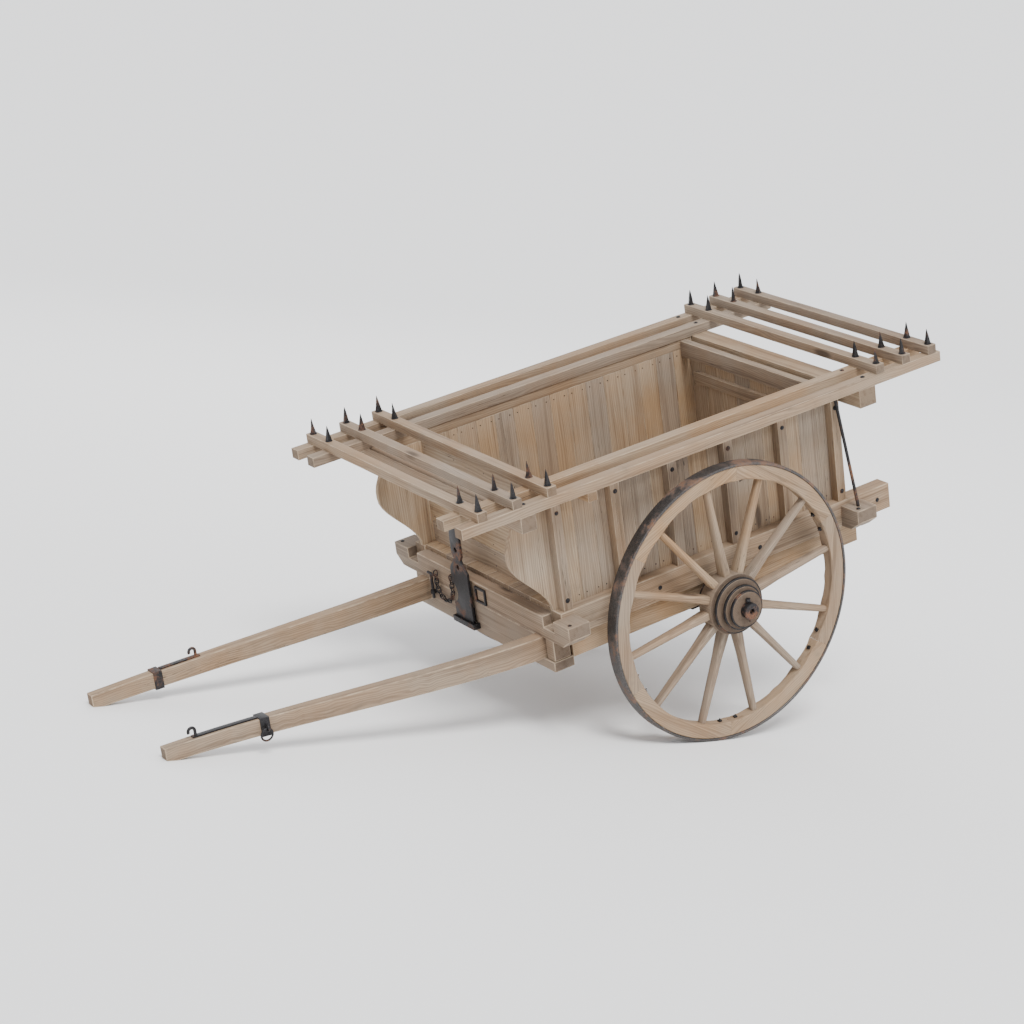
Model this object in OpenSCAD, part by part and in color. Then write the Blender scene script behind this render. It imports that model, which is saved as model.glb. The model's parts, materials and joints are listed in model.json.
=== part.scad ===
// Two-wheeled farm tip cart with a harvest top frame, standing on its shaft tips.
// X runs to the rear, the left (near) side is -Y, +Z is up, and the wheels and shaft tips stand on Z = 0.
// Everything is drawn in the cart's own frame, whose origin is the middle of the axle, and is then
// pitched forward about the axle until the shaft tips meet the ground.

/* [Wheels] */
// Diameter over the iron tyre
wheel_d = 1372; // [1150:1:1480]
// Width of the iron tyre
tyre_w = 70; // [55:1:90]
// Thickness of the iron tyre
tyre_t = 14; // [8:1:20]
// Width of the wooden felloes
felloe_w = 64; // [50:1:85]
// Depth of the wooden felloes, measured along a spoke
felloe_d = 70; // [60:1:90]
// Number of spokes in a wheel
spoke_count = 12; // [8:2:14]
// Greatest diameter of the nave, where the spokes stand
nave_d = 300; // [270:1:340]
// Length of the nave on the inner side of the wheel's middle plane
nave_in = 115; // [95:1:140]
// Length of the nave on the outer side of the wheel's middle plane
nave_out = 135; // [110:1:160]
// Turn of the wheels at rest
wheel_turn = 23; // [0:1:29]

/* [Axle] */
// Diameter of the iron axle under the body
axle_d = 60; // [50:1:66]
// Diameter of the axle arms that carry the wheels
arm_d = 52; // [40:1:54]

/* [Body] */
// Width between the plank sides
body_w = 1112; // [1000:1:1250]
// Length of the body in front of the axle, to the outside of the headboard
body_front = 790; // [760:1:900]
// Length of the body behind the axle, to the inside of the tailboard
body_rear = 850; // [800:1:950]
// Height of the plank sides above the sills
side_h = 535; // [480:1:640]
// Thickness of the planks and of the tailboard
plank_t = 22; // [16:1:28]
// Number of planks in each side
plank_count = 15; // [10:1:20]
// Number of posts along each side
post_count = 6; // [4:1:8]
// Thickness of a post, each way
post_w = 50; // [40:1:60]
// Thickness of the floor boards
floor_t = 25; // [18:1:30]
// Height of a cross beam
beam_h = 110; // [90:1:125]
// Width of a cross beam, along the cart
beam_w = 120; // [95:1:130]
// Height of an upper sill
sill_h = 130; // [130:1:160]
// Width of an upper sill
sill_w = 85; // [80:1:100]
// Height of a lower sill
low_sill_h = 120; // [110:1:140]
// Width of a lower sill
low_sill_w = 60; // [50:1:70]
// How far the upper sills run behind the axle
sill_rear = 1120; // [1050:1:1200]

/* [Top frame] */
// How far the top frame reaches in front of the axle
frame_front = 1385; // [1330:1:1500]
// How far the top frame reaches behind the axle
frame_rear = 1400; // [1300:1:1500]
// Width of a long rail
rail_w = 60; // [45:1:70]
// Height of a long rail
rail_h = 50; // [40:1:60]
// Width of a slat
slat_w = 50; // [40:1:60]
// Height of a slat
slat_h = 45; // [35:1:55]
// Height of a load spike
spike_h = 80; // [60:1:110]

/* [Shafts] */
// Length from the axle to the shaft tips
shaft_l = 2780; // [2550:1:3000]
// Width of a shaft at the body
shaft_w = 65; // [55:1:75]
// Height of a shaft at the body
shaft_h = 110; // [95:1:120]
// Width of a shaft at its tip
tip_w = 50; // [40:1:60]
// Height of a shaft at its tip
tip_h = 70; // [55:1:85]
// Rise of the shafts' middle line from the body to the tips
tip_rise = 130; // [80:1:180]
// How far each shaft draws in from the body to its tip
tip_draw = 125; // [60:1:160]

/* [Front ironwork] */
// Distance of the tip iron from the middle of the cart, to the right
iron_y = 115; // [95:1:140]
// Thickness of the tip iron
iron_t = 12; // [8:1:14]
// Height of the tip iron above the axle
iron_h = 480; // [420:1:520]
// Diameter of the pin holes and of the tip pin's collar
pin_hole_d = 25; // [20:1:30]
// Diameter of the tip pin's shank
pin_d = 14; // [10:1:16]

/* [Hidden] */

// Clearances
fit = 0.05;      // running fit on a shaft, on the radius
seat = 0.05;     // seat between pieces that don't move on each other
joint_gap = 1.5; // saw cut between neighbouring boards
free = 10;       // air between a turning nave and the body

// Heights in the cart frame
beam_z = 75;
beam_top = beam_z + beam_h;
sill_top = beam_z + sill_h;
wall_top = sill_top + side_h;
rail_z = wall_top + rail_h;
frame_top = rail_z + rail_h;
slat_top = frame_top + slat_h;
floor_top = beam_top + floor_t;
low_sill_z = beam_z - low_sill_h;
shaft_top = beam_z - 0.5;
shaft_z = shaft_top - shaft_h;
strip_h = 50;
strip_z = shaft_z - strip_h;

// Distances from the cart's middle plane
plank_in = body_w / 2;
plank_out = plank_in + plank_t;
post_out = plank_out + post_w;
sill_in = plank_in - 6;
sill_out = sill_in + sill_w;
low_sill_in = sill_in - 5;
low_sill_out = low_sill_in + low_sill_w;
shaft_out = low_sill_in - 17.5;
shaft_mid = shaft_out - shaft_w / 2;
shaft_in = shaft_out - shaft_w;
wheel_y = max(sill_out, post_out) + free + nave_in;
shoulder_y = wheel_y - nave_in - 5;
outer_y = wheel_y;
arm_end = wheel_y + nave_out + 35;
hollow_r = 14; // the hollow in the end of each arm
hollow_l = 16;

// Places along the cart
beam_front = -body_front - beam_w;
rear_beam_x = body_rear - 40;
sill_front = -body_front - 70;
first_post = -body_front - 20;
last_post = body_rear - 20;
plank_x0 = -body_front - 10;
plank_x1 = body_rear + 10;
floor_x0 = -body_front - 60;
floor_x1 = body_rear - 5;
top_rail_x0 = -body_front - 195;
top_rail_x1 = body_rear + 25;
bearer_front_x = top_rail_x0 - 95;
bearer_rear_x = top_rail_x1 + 5;
front_slat_x = [for (i = [0:2]) -frame_front + 90 + i * 185];
rear_slat_x = [for (i = [0:2]) frame_rear - 75 - i * 165];
spike_y = [sill_in + rail_w / 2, outer_y - rail_w / 2];

// Wheel
wheel_r = wheel_d / 2;
rim_r = wheel_r - tyre_t;
felloe_r = rim_r - felloe_d;
nave_r = nave_d / 2;
box_r = 38;
tenon_l = 50;
tenon_t = 26;
tenon_w = 56;
tongue_r = 12;
tongue_l = 38;
spoke_t = [40, 32];
spoke_w = [62, 40];
nave_steps = [
    [-nave_in, -nave_in + 35, nave_r - 58],
    [-nave_in + 35, -45, nave_r - 32],
    [-45, 45, nave_r],
    [45, 75, nave_r - 18],
    [75, nave_out - 30, nave_r - 46],
    [nave_out - 30, nave_out, nave_r - 64]
];
hoop_steps = [0, 1, 3, 4, 5];
hoop_w = 15;
hoop_t = 6;

// Shafts: the middle line leaves the body level and runs to the tips in one gentle S
bend_x = body_front + 160;
mid_z = (shaft_z + shaft_top) / 2;
curve_steps = 14;
wear = 12;
tip_low = mid_z + tip_rise - tip_h / 2;
pitch = asin((wheel_r + wear) / norm([shaft_l, tip_low])) + atan(tip_low / shaft_l);
knuckle_r = 62;

// The cart stands with the middle of its length over the origin
nose_x = -shaft_l * cos(pitch) - (mid_z + tip_rise + tip_h / 2) * sin(pitch);
tail_x = frame_rear * cos(pitch) - rail_z * sin(pitch);
axle_x = -(nose_x + tail_x) / 2;

// Front ironwork
iron_x = beam_front - 14 - iron_t;
pin_x = beam_front - 20;
pin_y = 400;
eye_z = 20;
eye_h = 12;
link_r = 14;
link_wire = 3;
link_pitch = 2 * (link_r - link_wire) - 0.4;
nub_y = iron_y + 75;
nub_z = 165;
chain_y = nub_y + 19;
chain_top = nub_z - 5.7;
chain_bend_z = 90;
chain_bend_r = 72;
chain_links = 17;

// Shaft irons: where the hook and the band stand on each shaft, as distances from the axle
hook_x = [2620, 2220];
band_x = [2310, 2440];
band_t = 5;
eye_r = 13;
eye_wire = 4.5;
ring_r = 28;
ring_wire = 4.5;
ring_clear = 1.4; // room between ring and eye, which the ring crosses at a slant

// Tailboard hinge
tail_x0 = body_rear;
tail_z0 = beam_top + 5;
tail_z1 = wall_top - 55;
tail_half = plank_in - 7;
hinge_x = tail_x0 + plank_t + 14;
hinge_z = beam_top + 15;
hinge_y = 300;
strap_w = 40;
hinge_pin_r = 5;
knuckle = 9;

wood = "BurlyWood";
dark_wood = "Tan";
iron = "DimGray";

$fn = 48;

// ---------------------------------------------------------------- helpers

// The cart frame, pitched forward about the axle
module pitched() translate([axle_x, 0, wheel_r]) rotate([0, -pitch, 0]) children();

// A part drawn for the right side, put on the side asked for
module on_side(side) mirror([0, side < 0 ? 1 : 0, 0]) children();

// A squared timber between two corners
module timber(x, y, z) translate([x[0], y[0], z[0]]) cube([x[1] - x[0], y[1] - y[0], z[1] - z[0]]);

// An outline in X and Z, given thickness between two distances from the middle plane
module side_cut(y0, y1) translate([0, y1, 0]) rotate([90, 0, 0]) linear_extrude(y1 - y0) children();

// An outline in Y and Z, given thickness between two places along the cart
module front_cut(x0, x1) translate([x0, 0, 0]) rotate([90, 0, 90]) linear_extrude(x1 - x0) children();

// A torus lying in the XY plane
module torus(r, wire) rotate_extrude() translate([r, 0]) circle(r = wire, $fn = 24);

// A round bar along Y
module bar_y(r, y0, y1) translate([0, y0, 0]) rotate([-90, 0, 0]) cylinder(r = r, h = y1 - y0);

// ---------------------------------------------------------------- shafts

function smooth(t) = t * t * (3 - 2 * t);
function bend(t) = (t + smooth(t)) / 2;
function station(i) = -bend_x - (shaft_l - bend_x) * i / curve_steps;
function along(x) = max(0, min(1, (-x - bend_x) / (shaft_l - bend_x)));
function line_z(x) = mid_z + tip_rise * bend(along(x));
function line_y(x) = shaft_mid - tip_draw * bend(along(x));
function half_h(x) = (shaft_h + (tip_h - shaft_h) * along(x)) / 2;
function half_w(x) = (shaft_w + (tip_w - shaft_w) * along(x)) / 2;

// The shaft's bent body, grown outwards by a margin
module shaft_body(grow) {
    intersection() {
        side_cut(0, shaft_out + 40) polygon(concat(
            [[0, shaft_z - grow], [0, shaft_top + grow]],
            [for (i = [0:curve_steps]) [station(i), line_z(station(i)) + half_h(station(i)) + grow]],
            [for (i = [curve_steps:-1:0]) [station(i), line_z(station(i)) - half_h(station(i)) - grow]]
        ));
        translate([0, 0, shaft_z - 100]) linear_extrude(shaft_h + tip_rise + 300) polygon(concat(
            [[0, shaft_in - grow], [0, shaft_out + grow]],
            [for (i = [0:curve_steps]) [station(i), line_y(station(i)) + half_w(station(i)) + grow]],
            [for (i = [curve_steps:-1:0]) [station(i), line_y(station(i)) - half_w(station(i)) - grow]]
        ));
    }
}

// Everything below the ground, seen from the cart frame
module below_ground() {
    rotate([0, pitch, 0]) translate([-2 * shaft_l, -1000, -wheel_r - 500]) cube([4 * shaft_l, 2000, 500]);
}

module shaft(side) {
    color(wood) pitched() on_side(side) difference() {
        union() {
            shaft_body(0);
            bar_y(knuckle_r, shaft_in, shaft_out);
        }
        bar_y(axle_d / 2 + seat, shaft_in - 1, shaft_out + 1);
        below_ground();
    }
}

module shaft_left() shaft(-1);
module shaft_right() shaft(1);

// The crossbar fills the space between the shafts and passes under them
module crossbar() {
    color(wood) pitched() {
        timber([beam_front, beam_front + beam_w - 10], [-shaft_in, shaft_in], [shaft_z - 1, shaft_top]);
        timber([beam_front, beam_front + beam_w - 10], [-low_sill_out, low_sill_out], [strip_z, shaft_z]);
    }
}

module axle() {
    color(iron) pitched() difference() {
        union() {
            bar_y(axle_d / 2, -shoulder_y, shoulder_y);
            bar_y(arm_d / 2, -arm_end, arm_end);
        }
        for (s = [-1, 1]) on_side(s) {
            bar_y(hollow_r, arm_end - hollow_l, arm_end + 1);
            translate([0, arm_end - 24, -100]) cylinder(r = 5 + fit, h = 200);
        }
    }
}

// An inner washer against each axle shoulder and an outer collar beyond each nave
module wheel_washers() {
    color(iron) pitched() for (s = [-1, 1]) on_side(s) {
        difference() {
            bar_y(45, shoulder_y, wheel_y - nave_in - 0.3);
            bar_y(arm_d / 2 + fit, shoulder_y - 1, shoulder_y + 20);
        }
        difference() {
            bar_y(40, wheel_y + nave_out + 0.3, arm_end);
            bar_y(arm_d / 2 + fit, wheel_y, arm_end + 1);
            translate([0, arm_end - 24, -100]) cylinder(r = 5 + fit, h = 200);
        }
    }
}

module linchpins() {
    color(iron) pitched() for (s = [-1, 1]) on_side(s) translate([0, arm_end - 24, 0]) {
        translate([0, 0, -58]) cylinder(r = 5, h = 116);
        translate([0, 0, 46]) cylinder(r = 11, h = 14);
    }
}

// ---------------------------------------------------------------- front ironwork

// A tall iron plate with two pin holes, a notch in one edge and its head bent back
module tip_iron() {
    color(iron) pitched() {
        difference() {
            front_cut(iron_x, iron_x + iron_t) translate([iron_y, 0]) polygon([
                [-75, -65], [75, -65], [75, 225], [45, 262], [28, 285], [42, 310], [42, iron_h - 80],
                [30, iron_h], [-30, iron_h], [-42, iron_h - 80], [-42, 310], [-28, 285], [-45, 262],
                [-75, 225]
            ]);
            for (z = [245, 335]) translate([iron_x - 1, iron_y, z]) rotate([0, 90, 0])
                cylinder(r = pin_hole_d / 2, h = iron_t + 2);
            translate([iron_x - 1, iron_y + 90, 95]) rotate([0, 90, 0]) cylinder(r = 55, h = iron_t + 2);
        }
        timber([iron_x, iron_x + 56], [iron_y - 30, iron_y + 30], [iron_h - iron_t, iron_h]);
        translate([pin_x, 0, nub_z]) bar_y(5, nub_y - 5, chain_y + 6);
    }
}

// The iron's seat and stirrup on the crossbar, and the eye in which the tip pin is parked
module crossbar_irons() {
    color(iron) pitched() {
        timber([iron_x + iron_t, beam_front], [iron_y - 60, iron_y + 60], [-30, 40]);
        timber([iron_x - 12, iron_x], [iron_y - 92, iron_y + 92], [-58, -30]);
        for (s = [-1, 1]) translate([0, iron_y + s * 86, 0])
            timber([iron_x - 12, beam_front], [-6, 6], [-58, -30]);
        difference() {
            union() {
                translate([pin_x, pin_y, eye_z]) cylinder(r = pin_d / 2 + 7, h = eye_h);
                timber([pin_x, beam_front], [pin_y - 9, pin_y + 9], [eye_z, eye_z + eye_h]);
            }
            translate([pin_x, pin_y, eye_z - 1]) cylinder(r = pin_d / 2 + fit, h = eye_h + 2);
        }
    }
}

function chain_drop() = chain_top - chain_bend_z;
function chain_turn(s) = (s - chain_drop()) / chain_bend_r * 180 / PI;
function chain_at(s) =
    s < chain_drop() ? [chain_y, chain_top - s, -90]
    : chain_turn(s) < 180
        ? [chain_y + chain_bend_r * (1 - cos(chain_turn(s))), chain_bend_z - chain_bend_r * sin(chain_turn(s)),
           chain_turn(s) - 90]
        : [chain_y + 2 * chain_bend_r, chain_bend_z + s - chain_drop() - PI * chain_bend_r, 90];

// Round links, each turned a quarter from its neighbour, hanging in a loop from the tip iron
module pin_chain() {
    color(iron) pitched() for (i = [0:chain_links - 1]) {
        p = chain_at(i * link_pitch);
        translate([pin_x, p[0], p[1]])
            rotate(i % 2 == 0 ? [p[2], 0, 0] : [0, 90, 0])
            torus(link_r, link_wire);
    }
}

// A T-headed pin with a collar, standing in its parking eye
module tip_pin() {
    color(iron) pitched() translate([pin_x, pin_y, 0]) {
        translate([0, 0, eye_z - 25]) cylinder(r = pin_d / 2, h = 125);
        translate([0, 0, eye_z + eye_h]) cylinder(r = pin_hole_d / 2, h = 6);
        translate([0, 0, eye_z + 105]) bar_y(pin_d / 2, -28, 28);
    }
}

// ---------------------------------------------------------------- shaft irons

// A stretch of a skin around the shaft, between two distances from the axle
module shaft_skin(x0, x1, thick) {
    difference() {
        intersection() {
            shaft_body(thick + seat);
            timber([-x1, -x0], [0, shaft_out + 100], [shaft_z - 100, shaft_top + 300]);
        }
        shaft_body(seat);
    }
}

function eye_mid(x) = line_y(-x) + half_w(-x) + band_t + eye_r + 3;

module shaft_irons(side) {
    k = side < 0 ? 0 : 1;
    b = band_x[k];
    h = hook_x[k];
    color(iron) pitched() on_side(side) {
        shaft_skin(b - 22, b + 22, band_t);
        // a tapered bar on top, from the band to the hook
        intersection() {
            shaft_skin(h < b ? h - 18 : b + 24, h < b ? b - 24 : h + 18, 7);
            translate([0, 0, line_z(-h)]) top_strip(min(b, h) - 30, max(b, h) + 30);
        }
        // an eye standing out from the band
        translate([-b, eye_mid(b), line_z(-b)]) rotate([0, 90, 0]) torus(eye_r, eye_wire);
        translate([-b, line_y(-b) + half_w(-b) + 1, line_z(-b)]) bar_y(4, 0, band_t + 4);
        // a curled hook standing on the bar
        translate([-h, line_y(-h), line_z(-h) + half_h(-h) + 5]) {
            cylinder(r = 7, h = 26);
            translate([-16, 0, 26]) rotate([90, 0, 0]) rotate_extrude(angle = 200)
                translate([16, 0]) circle(r = 7, $fn = 24);
        }
    }
}

// A strip over the shaft's middle line
module top_strip(x0, x1) {
    linear_extrude(300) polygon(concat(
        [for (i = [0:4]) let (x = -x0 + (x0 - x1) * i / 4) [x, line_y(x) + 12]],
        [for (i = [4:-1:0]) let (x = -x0 + (x0 - x1) * i / 4) [x, line_y(x) - 12]]
    ));
}

module shaft_irons_left() shaft_irons(-1);
module shaft_irons_right() shaft_irons(1);

// A loose ring hanging straight down through the eye
module shaft_ring(side) {
    b = band_x[side < 0 ? 0 : 1];
    lift = eye_r - eye_wire - ring_wire - ring_clear;
    color(iron) pitched() on_side(side)
        translate([-b - ring_r * sin(pitch), eye_mid(b), line_z(-b) - lift - ring_r * cos(pitch)])
        rotate([90, 0, 0]) torus(ring_r, ring_wire);
}

module shaft_ring_left() shaft_ring(-1);
module shaft_ring_right() shaft_ring(1);

// ---------------------------------------------------------------- body

module lower_sill(side) {
    color(dark_wood) pitched() on_side(side) difference() {
        timber([-body_front - 10, rear_beam_x + 110], [low_sill_in, low_sill_out], [low_sill_z, beam_z]);
        bar_y(axle_d / 2 + fit, low_sill_in - 1, low_sill_out + 1);
    }
}

module lower_sill_left() lower_sill(-1);
module lower_sill_right() lower_sill(1);

// The lower halves of the cross beams pass through the upper sills
module beam_laps() {
    lap_z = beam_z + beam_h / 2;
    for (x = [beam_front, rear_beam_x])
        timber([x - seat, x + beam_w + seat], [0, outer_y + 10], [beam_z - 1, lap_z]);
}

module upper_sill(side) {
    color(wood) pitched() on_side(side) difference() {
        timber([sill_front, sill_rear], [sill_in, sill_out], [beam_z, sill_top]);
        beam_laps();
    }
}

module upper_sill_left() upper_sill(-1);
module upper_sill_right() upper_sill(1);

// A cross beam with its end arrises cut away underneath
module cross_beam(x0) {
    lap_z = beam_z + beam_h / 2;
    difference() {
        front_cut(x0, x0 + beam_w) polygon([
            [-outer_y, beam_top], [-outer_y, beam_z + 45], [-outer_y + 60, beam_z],
            [outer_y - 60, beam_z], [outer_y, beam_z + 45], [outer_y, beam_top]
        ]);
        for (s = [-1, 1]) on_side(s)
            timber([x0 - 1, x0 + beam_w + 1], [sill_in - seat, sill_out + seat], [lap_z, beam_top + 1]);
    }
}

// The front beam and the lug that drops outside each shaft
module front_beam() {
    color(wood) pitched() {
        cross_beam(beam_front);
        for (s = [-1, 1]) on_side(s)
            timber([beam_front + 10, beam_front + beam_w - 22], [shaft_out + 8, low_sill_out - 5],
                   [shaft_z + 1, beam_z + 1]);
    }
}

module rear_beam() {
    color(wood) pitched() difference() {
        cross_beam(rear_beam_x);
        for (s = [-1, 1]) translate([rear_beam_x + 55, s * (outer_y - 60), beam_z - 1])
            cylinder(r = 8.5, h = beam_h + 2);
    }
}

module floor_boards() {
    count = 6;
    board = (2 * sill_in - 1 - (count - 1) * joint_gap) / count;
    color(dark_wood) pitched() for (i = [0:count - 1]) {
        y = -sill_in + 0.5 + i * (board + joint_gap);
        timber([floor_x0, floor_x1], [y, y + board], [beam_top, floor_top]);
    }
}

module floor_bearers() {
    color(dark_wood) pitched() for (x = [-330, 270])
        timber([x, x + 60], [-sill_in, sill_in], [beam_top - 55, beam_top]);
}

module side_posts(side) {
    step = (last_post - first_post) / (post_count - 1);
    color(wood) pitched() on_side(side) for (i = [0:post_count - 1]) {
        x = first_post + i * step;
        timber([x - post_w / 2, x + post_w / 2], [plank_out, post_out], [sill_top, wall_top]);
    }
}

module side_posts_left() side_posts(-1);
module side_posts_right() side_posts(1);

module side_planks(side) {
    board = (plank_x1 - plank_x0 - (plank_count - 1) * joint_gap) / plank_count;
    color(dark_wood) pitched() on_side(side) for (i = [0:plank_count - 1]) {
        x = plank_x0 + i * (board + joint_gap);
        timber([x, x + board], [plank_in, plank_out], [sill_top, wall_top]);
    }
}

module side_planks_left() side_planks(-1);
module side_planks_right() side_planks(1);

module top_rail(side) {
    color(wood) pitched() on_side(side)
        timber([top_rail_x0, top_rail_x1], [plank_in, post_out], [wall_top, rail_z]);
}

module top_rail_left() top_rail(-1);
module top_rail_right() top_rail(1);

// Three boards across the front, the lowest one narrow
module headboard() {
    low = 110;
    rest = (wall_top - 2 - floor_top - low - 2 * joint_gap) / 2;
    levels = [floor_top, floor_top + low + joint_gap, floor_top + low + rest + 2 * joint_gap];
    heights = [low, rest, rest];
    color(dark_wood) pitched() for (i = [0:2])
        timber([-body_front, -body_front + plank_t], [-plank_in + 0.5, plank_in - 0.5],
               [levels[i], levels[i] + heights[i]]);
}

// A board in line with the side planks, its front edge swept out in an ogee
function ogee(t) = 72 + 205 * smooth(min(1, t / 0.62)) - 55 * smooth(max(0, (t - 0.68) / 0.32));

module front_wing(side) {
    steps = 16;
    high = side_h - 28;
    color(dark_wood) pitched() on_side(side) side_cut(plank_in, plank_out) polygon(concat(
        [[plank_x0 - joint_gap, sill_top]],
        [for (i = [0:steps]) [-body_front - ogee(i / steps), sill_top + high * i / steps]],
        [[top_rail_x0, sill_top + high], [top_rail_x0, wall_top], [plank_x0 - joint_gap, wall_top]]
    ));
}

module front_wing_left() front_wing(-1);
module front_wing_right() front_wing(1);

module rear_cross_rail() {
    color(wood) pitched() timber([body_rear - 50, body_rear - 10], [-plank_in, plank_in],
                                 [wall_top - 40, rail_z - 5]);
}

// An iron rod from a hole in the rear beam's end to the side of each top rail
module stay_rods() {
    foot = [rear_beam_x + 55, outer_y - 60, beam_top + 6];
    head = [body_rear - 30, post_out + 13, rail_z - 22];
    run = head - foot;
    color(iron) pitched() for (s = [-1, 1]) on_side(s) {
        translate([foot[0], foot[1], beam_top - 70]) cylinder(r = 8, h = 80);
        translate(foot) rotate([0, acos(run[2] / norm(run)), atan2(run[1], run[0])])
            cylinder(r = 8, h = norm(run));
        translate([head[0], 0, head[2] - 6]) bar_y(6, post_out, head[1] + 9);
    }
}

// A short arm from each top rail that carries the outer rail of the top frame
module outrigger_brackets() {
    color(wood) pitched() for (s = [-1, 1]) on_side(s)
        timber([-body_front + 75, -body_front + 125], [post_out, outer_y], [rail_z - 45, rail_z]);
}

module keeper_staple() {
    color(iron) pitched() front_cut(beam_front - 10, beam_front) difference() {
        translate([-70, beam_z + 15]) square([90, 80]);
        translate([-60, beam_z + 25]) square([70, 60]);
    }
}

module axle_straps() {
    color(iron) pitched() for (s = [-1, 1]) on_side(s)
        timber([-110, 110], [low_sill_in, low_sill_out], [low_sill_z - 8, low_sill_z]);
}

// A pin between two lugs on the rear beam, for each hinge of the tailboard
module tailboard_lugs() {
    color(iron) pitched() for (s = [-1, 1]) translate([0, s * hinge_y, 0]) {
        for (t = [-1, 1]) timber([hinge_x - knuckle, hinge_x + knuckle],
            [t * (strap_w / 2 + 8) - 7, t * (strap_w / 2 + 8) + 7], [beam_top, hinge_z + knuckle]);
        translate([hinge_x, 0, hinge_z]) bar_y(hinge_pin_r, -strap_w / 2 - 10, strap_w / 2 + 10);
    }
}

// ---------------------------------------------------------------- tailboard

module tailboard_planks() {
    count = 9;
    board = (2 * tail_half - (count - 1) * joint_gap) / count;
    color(dark_wood) pitched() for (i = [0:count - 1]) {
        y = -tail_half + i * (board + joint_gap);
        timber([tail_x0, tail_x0 + plank_t], [y, y + board], [tail_z0, tail_z1]);
    }
}

module tailboard_ledges() {
    color(wood) pitched() for (z = [tail_z0 + 70, tail_z1 - 125])
        timber([tail_x0 - 22, tail_x0], [-tail_half + 50, tail_half - 50], [z, z + 60]);
}

module tailboard_straps() {
    face = tail_x0 + plank_t;
    color(iron) pitched() for (s = [-1, 1]) translate([0, s * hinge_y, 0]) difference() {
        union() {
            timber([face, face + 6], [-strap_w / 2, strap_w / 2], [hinge_z, hinge_z + 280]);
            translate([hinge_x, 0, hinge_z]) bar_y(knuckle, -strap_w / 2, strap_w / 2);
        }
        translate([hinge_x, 0, hinge_z]) bar_y(hinge_pin_r + fit, -strap_w, strap_w);
    }
}

// ---------------------------------------------------------------- top frame

module long_rail(side, y0) {
    color(wood) pitched() on_side(side)
        timber([-frame_front, frame_rear], [y0, y0 + rail_w], [rail_z, frame_top]);
}

module outer_rail_left() long_rail(-1, outer_y - rail_w);
module outer_rail_right() long_rail(1, outer_y - rail_w);
module inner_rail_left() long_rail(-1, sill_in);
module inner_rail_right() long_rail(1, sill_in);

module slats(places) {
    color(wood) pitched() for (x = places)
        timber([x, x + slat_w], [-outer_y, outer_y], [frame_top, slat_top]);
}

module front_slats() slats(front_slat_x);
module rear_slats() slats(rear_slat_x);

// The bearers cross under the long rails, clear in front of and behind the body
module frame_bearers() {
    color(wood) pitched() {
        timber([bearer_front_x, bearer_front_x + 80], [-outer_y, outer_y], [rail_z - 75, rail_z]);
        timber([bearer_rear_x, bearer_rear_x + 100], [-outer_y, outer_y], [rail_z - 90, rail_z]);
    }
}

module slat_spikes() {
    color(iron) pitched() for (x = concat(front_slat_x, rear_slat_x), s = [-1, 1], y = spike_y)
        translate([x + slat_w / 2, s * y, slat_top]) cylinder(r1 = 7, r2 = 1.5, h = spike_h);
}

// ---------------------------------------------------------------- wheels

// A wheel is drawn about Z, with its outer face up, and set on the end of the axle
module on_arm(side) pitched() on_side(side) translate([0, wheel_y, 0]) rotate([-90, wheel_turn, 0])
    children();

module nave(side) {
    color(dark_wood) on_arm(side) difference() {
        rotate_extrude() polygon(concat(
            [[box_r + seat, -nave_in]],
            [for (step = nave_steps) each [[step[2], step[0]], [step[2], step[1]]]],
            [[box_r + seat, nave_out]]
        ));
        for (i = [0:spoke_count - 1]) rotate([0, 0, i * 360 / spoke_count])
            translate([nave_r - tenon_l - 1, -tenon_t / 2 - seat, -tenon_w / 2 - seat])
            cube([tenon_l + 10, tenon_t + 2 * seat, tenon_w + 2 * seat]);
    }
}

module nave_left() nave(-1);
module nave_right() nave(1);

// An iron hoop shrunk onto each step of the nave beside the spokes
module nave_hoops(side) {
    color(iron) on_arm(side) for (k = hoop_steps) {
        step = nave_steps[k];
        z = step[0] < 0 ? step[0] + 2 : step[1] - hoop_w - 2;
        translate([0, 0, z]) difference() {
            cylinder(r = step[2] + hoop_t, h = hoop_w);
            translate([0, 0, -1]) cylinder(r = step[2] + seat, h = hoop_w + 2);
        }
    }
}

module nave_hoops_left() nave_hoops(-1);
module nave_hoops_right() nave_hoops(1);

// The iron box inside the nave, which runs on the arm
module axle_box(side) {
    color(iron) on_arm(side) translate([0, 0, -nave_in]) difference() {
        cylinder(r = box_r, h = nave_in + nave_out);
        translate([0, 0, -1]) cylinder(r = arm_d / 2 + fit, h = nave_in + nave_out + 2);
    }
}

module axle_box_left() axle_box(-1);
module axle_box_right() axle_box(1);

function taper(pair) = [
    [nave_r - 20, -pair[0] / 2], [felloe_r + 20, -pair[1] / 2],
    [felloe_r + 20, pair[1] / 2], [nave_r - 20, pair[0] / 2]
];

// A spoke along X: a flat tenon in the nave, a tapering blade and a round tongue in the felloe
module spoke() {
    difference() {
        intersection() {
            translate([0, 0, -100]) cylinder(r = felloe_r - seat, h = 200);
            translate([0, 0, -100]) linear_extrude(200) polygon(taper(spoke_t));
            translate([0, 100, 0]) rotate([90, 0, 0]) linear_extrude(200) polygon(taper(spoke_w));
        }
        translate([0, 0, -101]) cylinder(r = nave_r + seat, h = 202);
    }
    translate([nave_r - tenon_l, -tenon_t / 2, -tenon_w / 2]) cube([tenon_l + 6, tenon_t, tenon_w]);
    translate([felloe_r - 6, 0, 0]) rotate([0, 90, 0]) cylinder(r = tongue_r, h = tongue_l + 6);
}

module spokes(side) {
    color(wood) on_arm(side) for (i = [0:spoke_count - 1]) rotate([0, 0, i * 360 / spoke_count]) spoke();
}

module spokes_left() spokes(-1);
module spokes_right() spokes(1);

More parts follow.
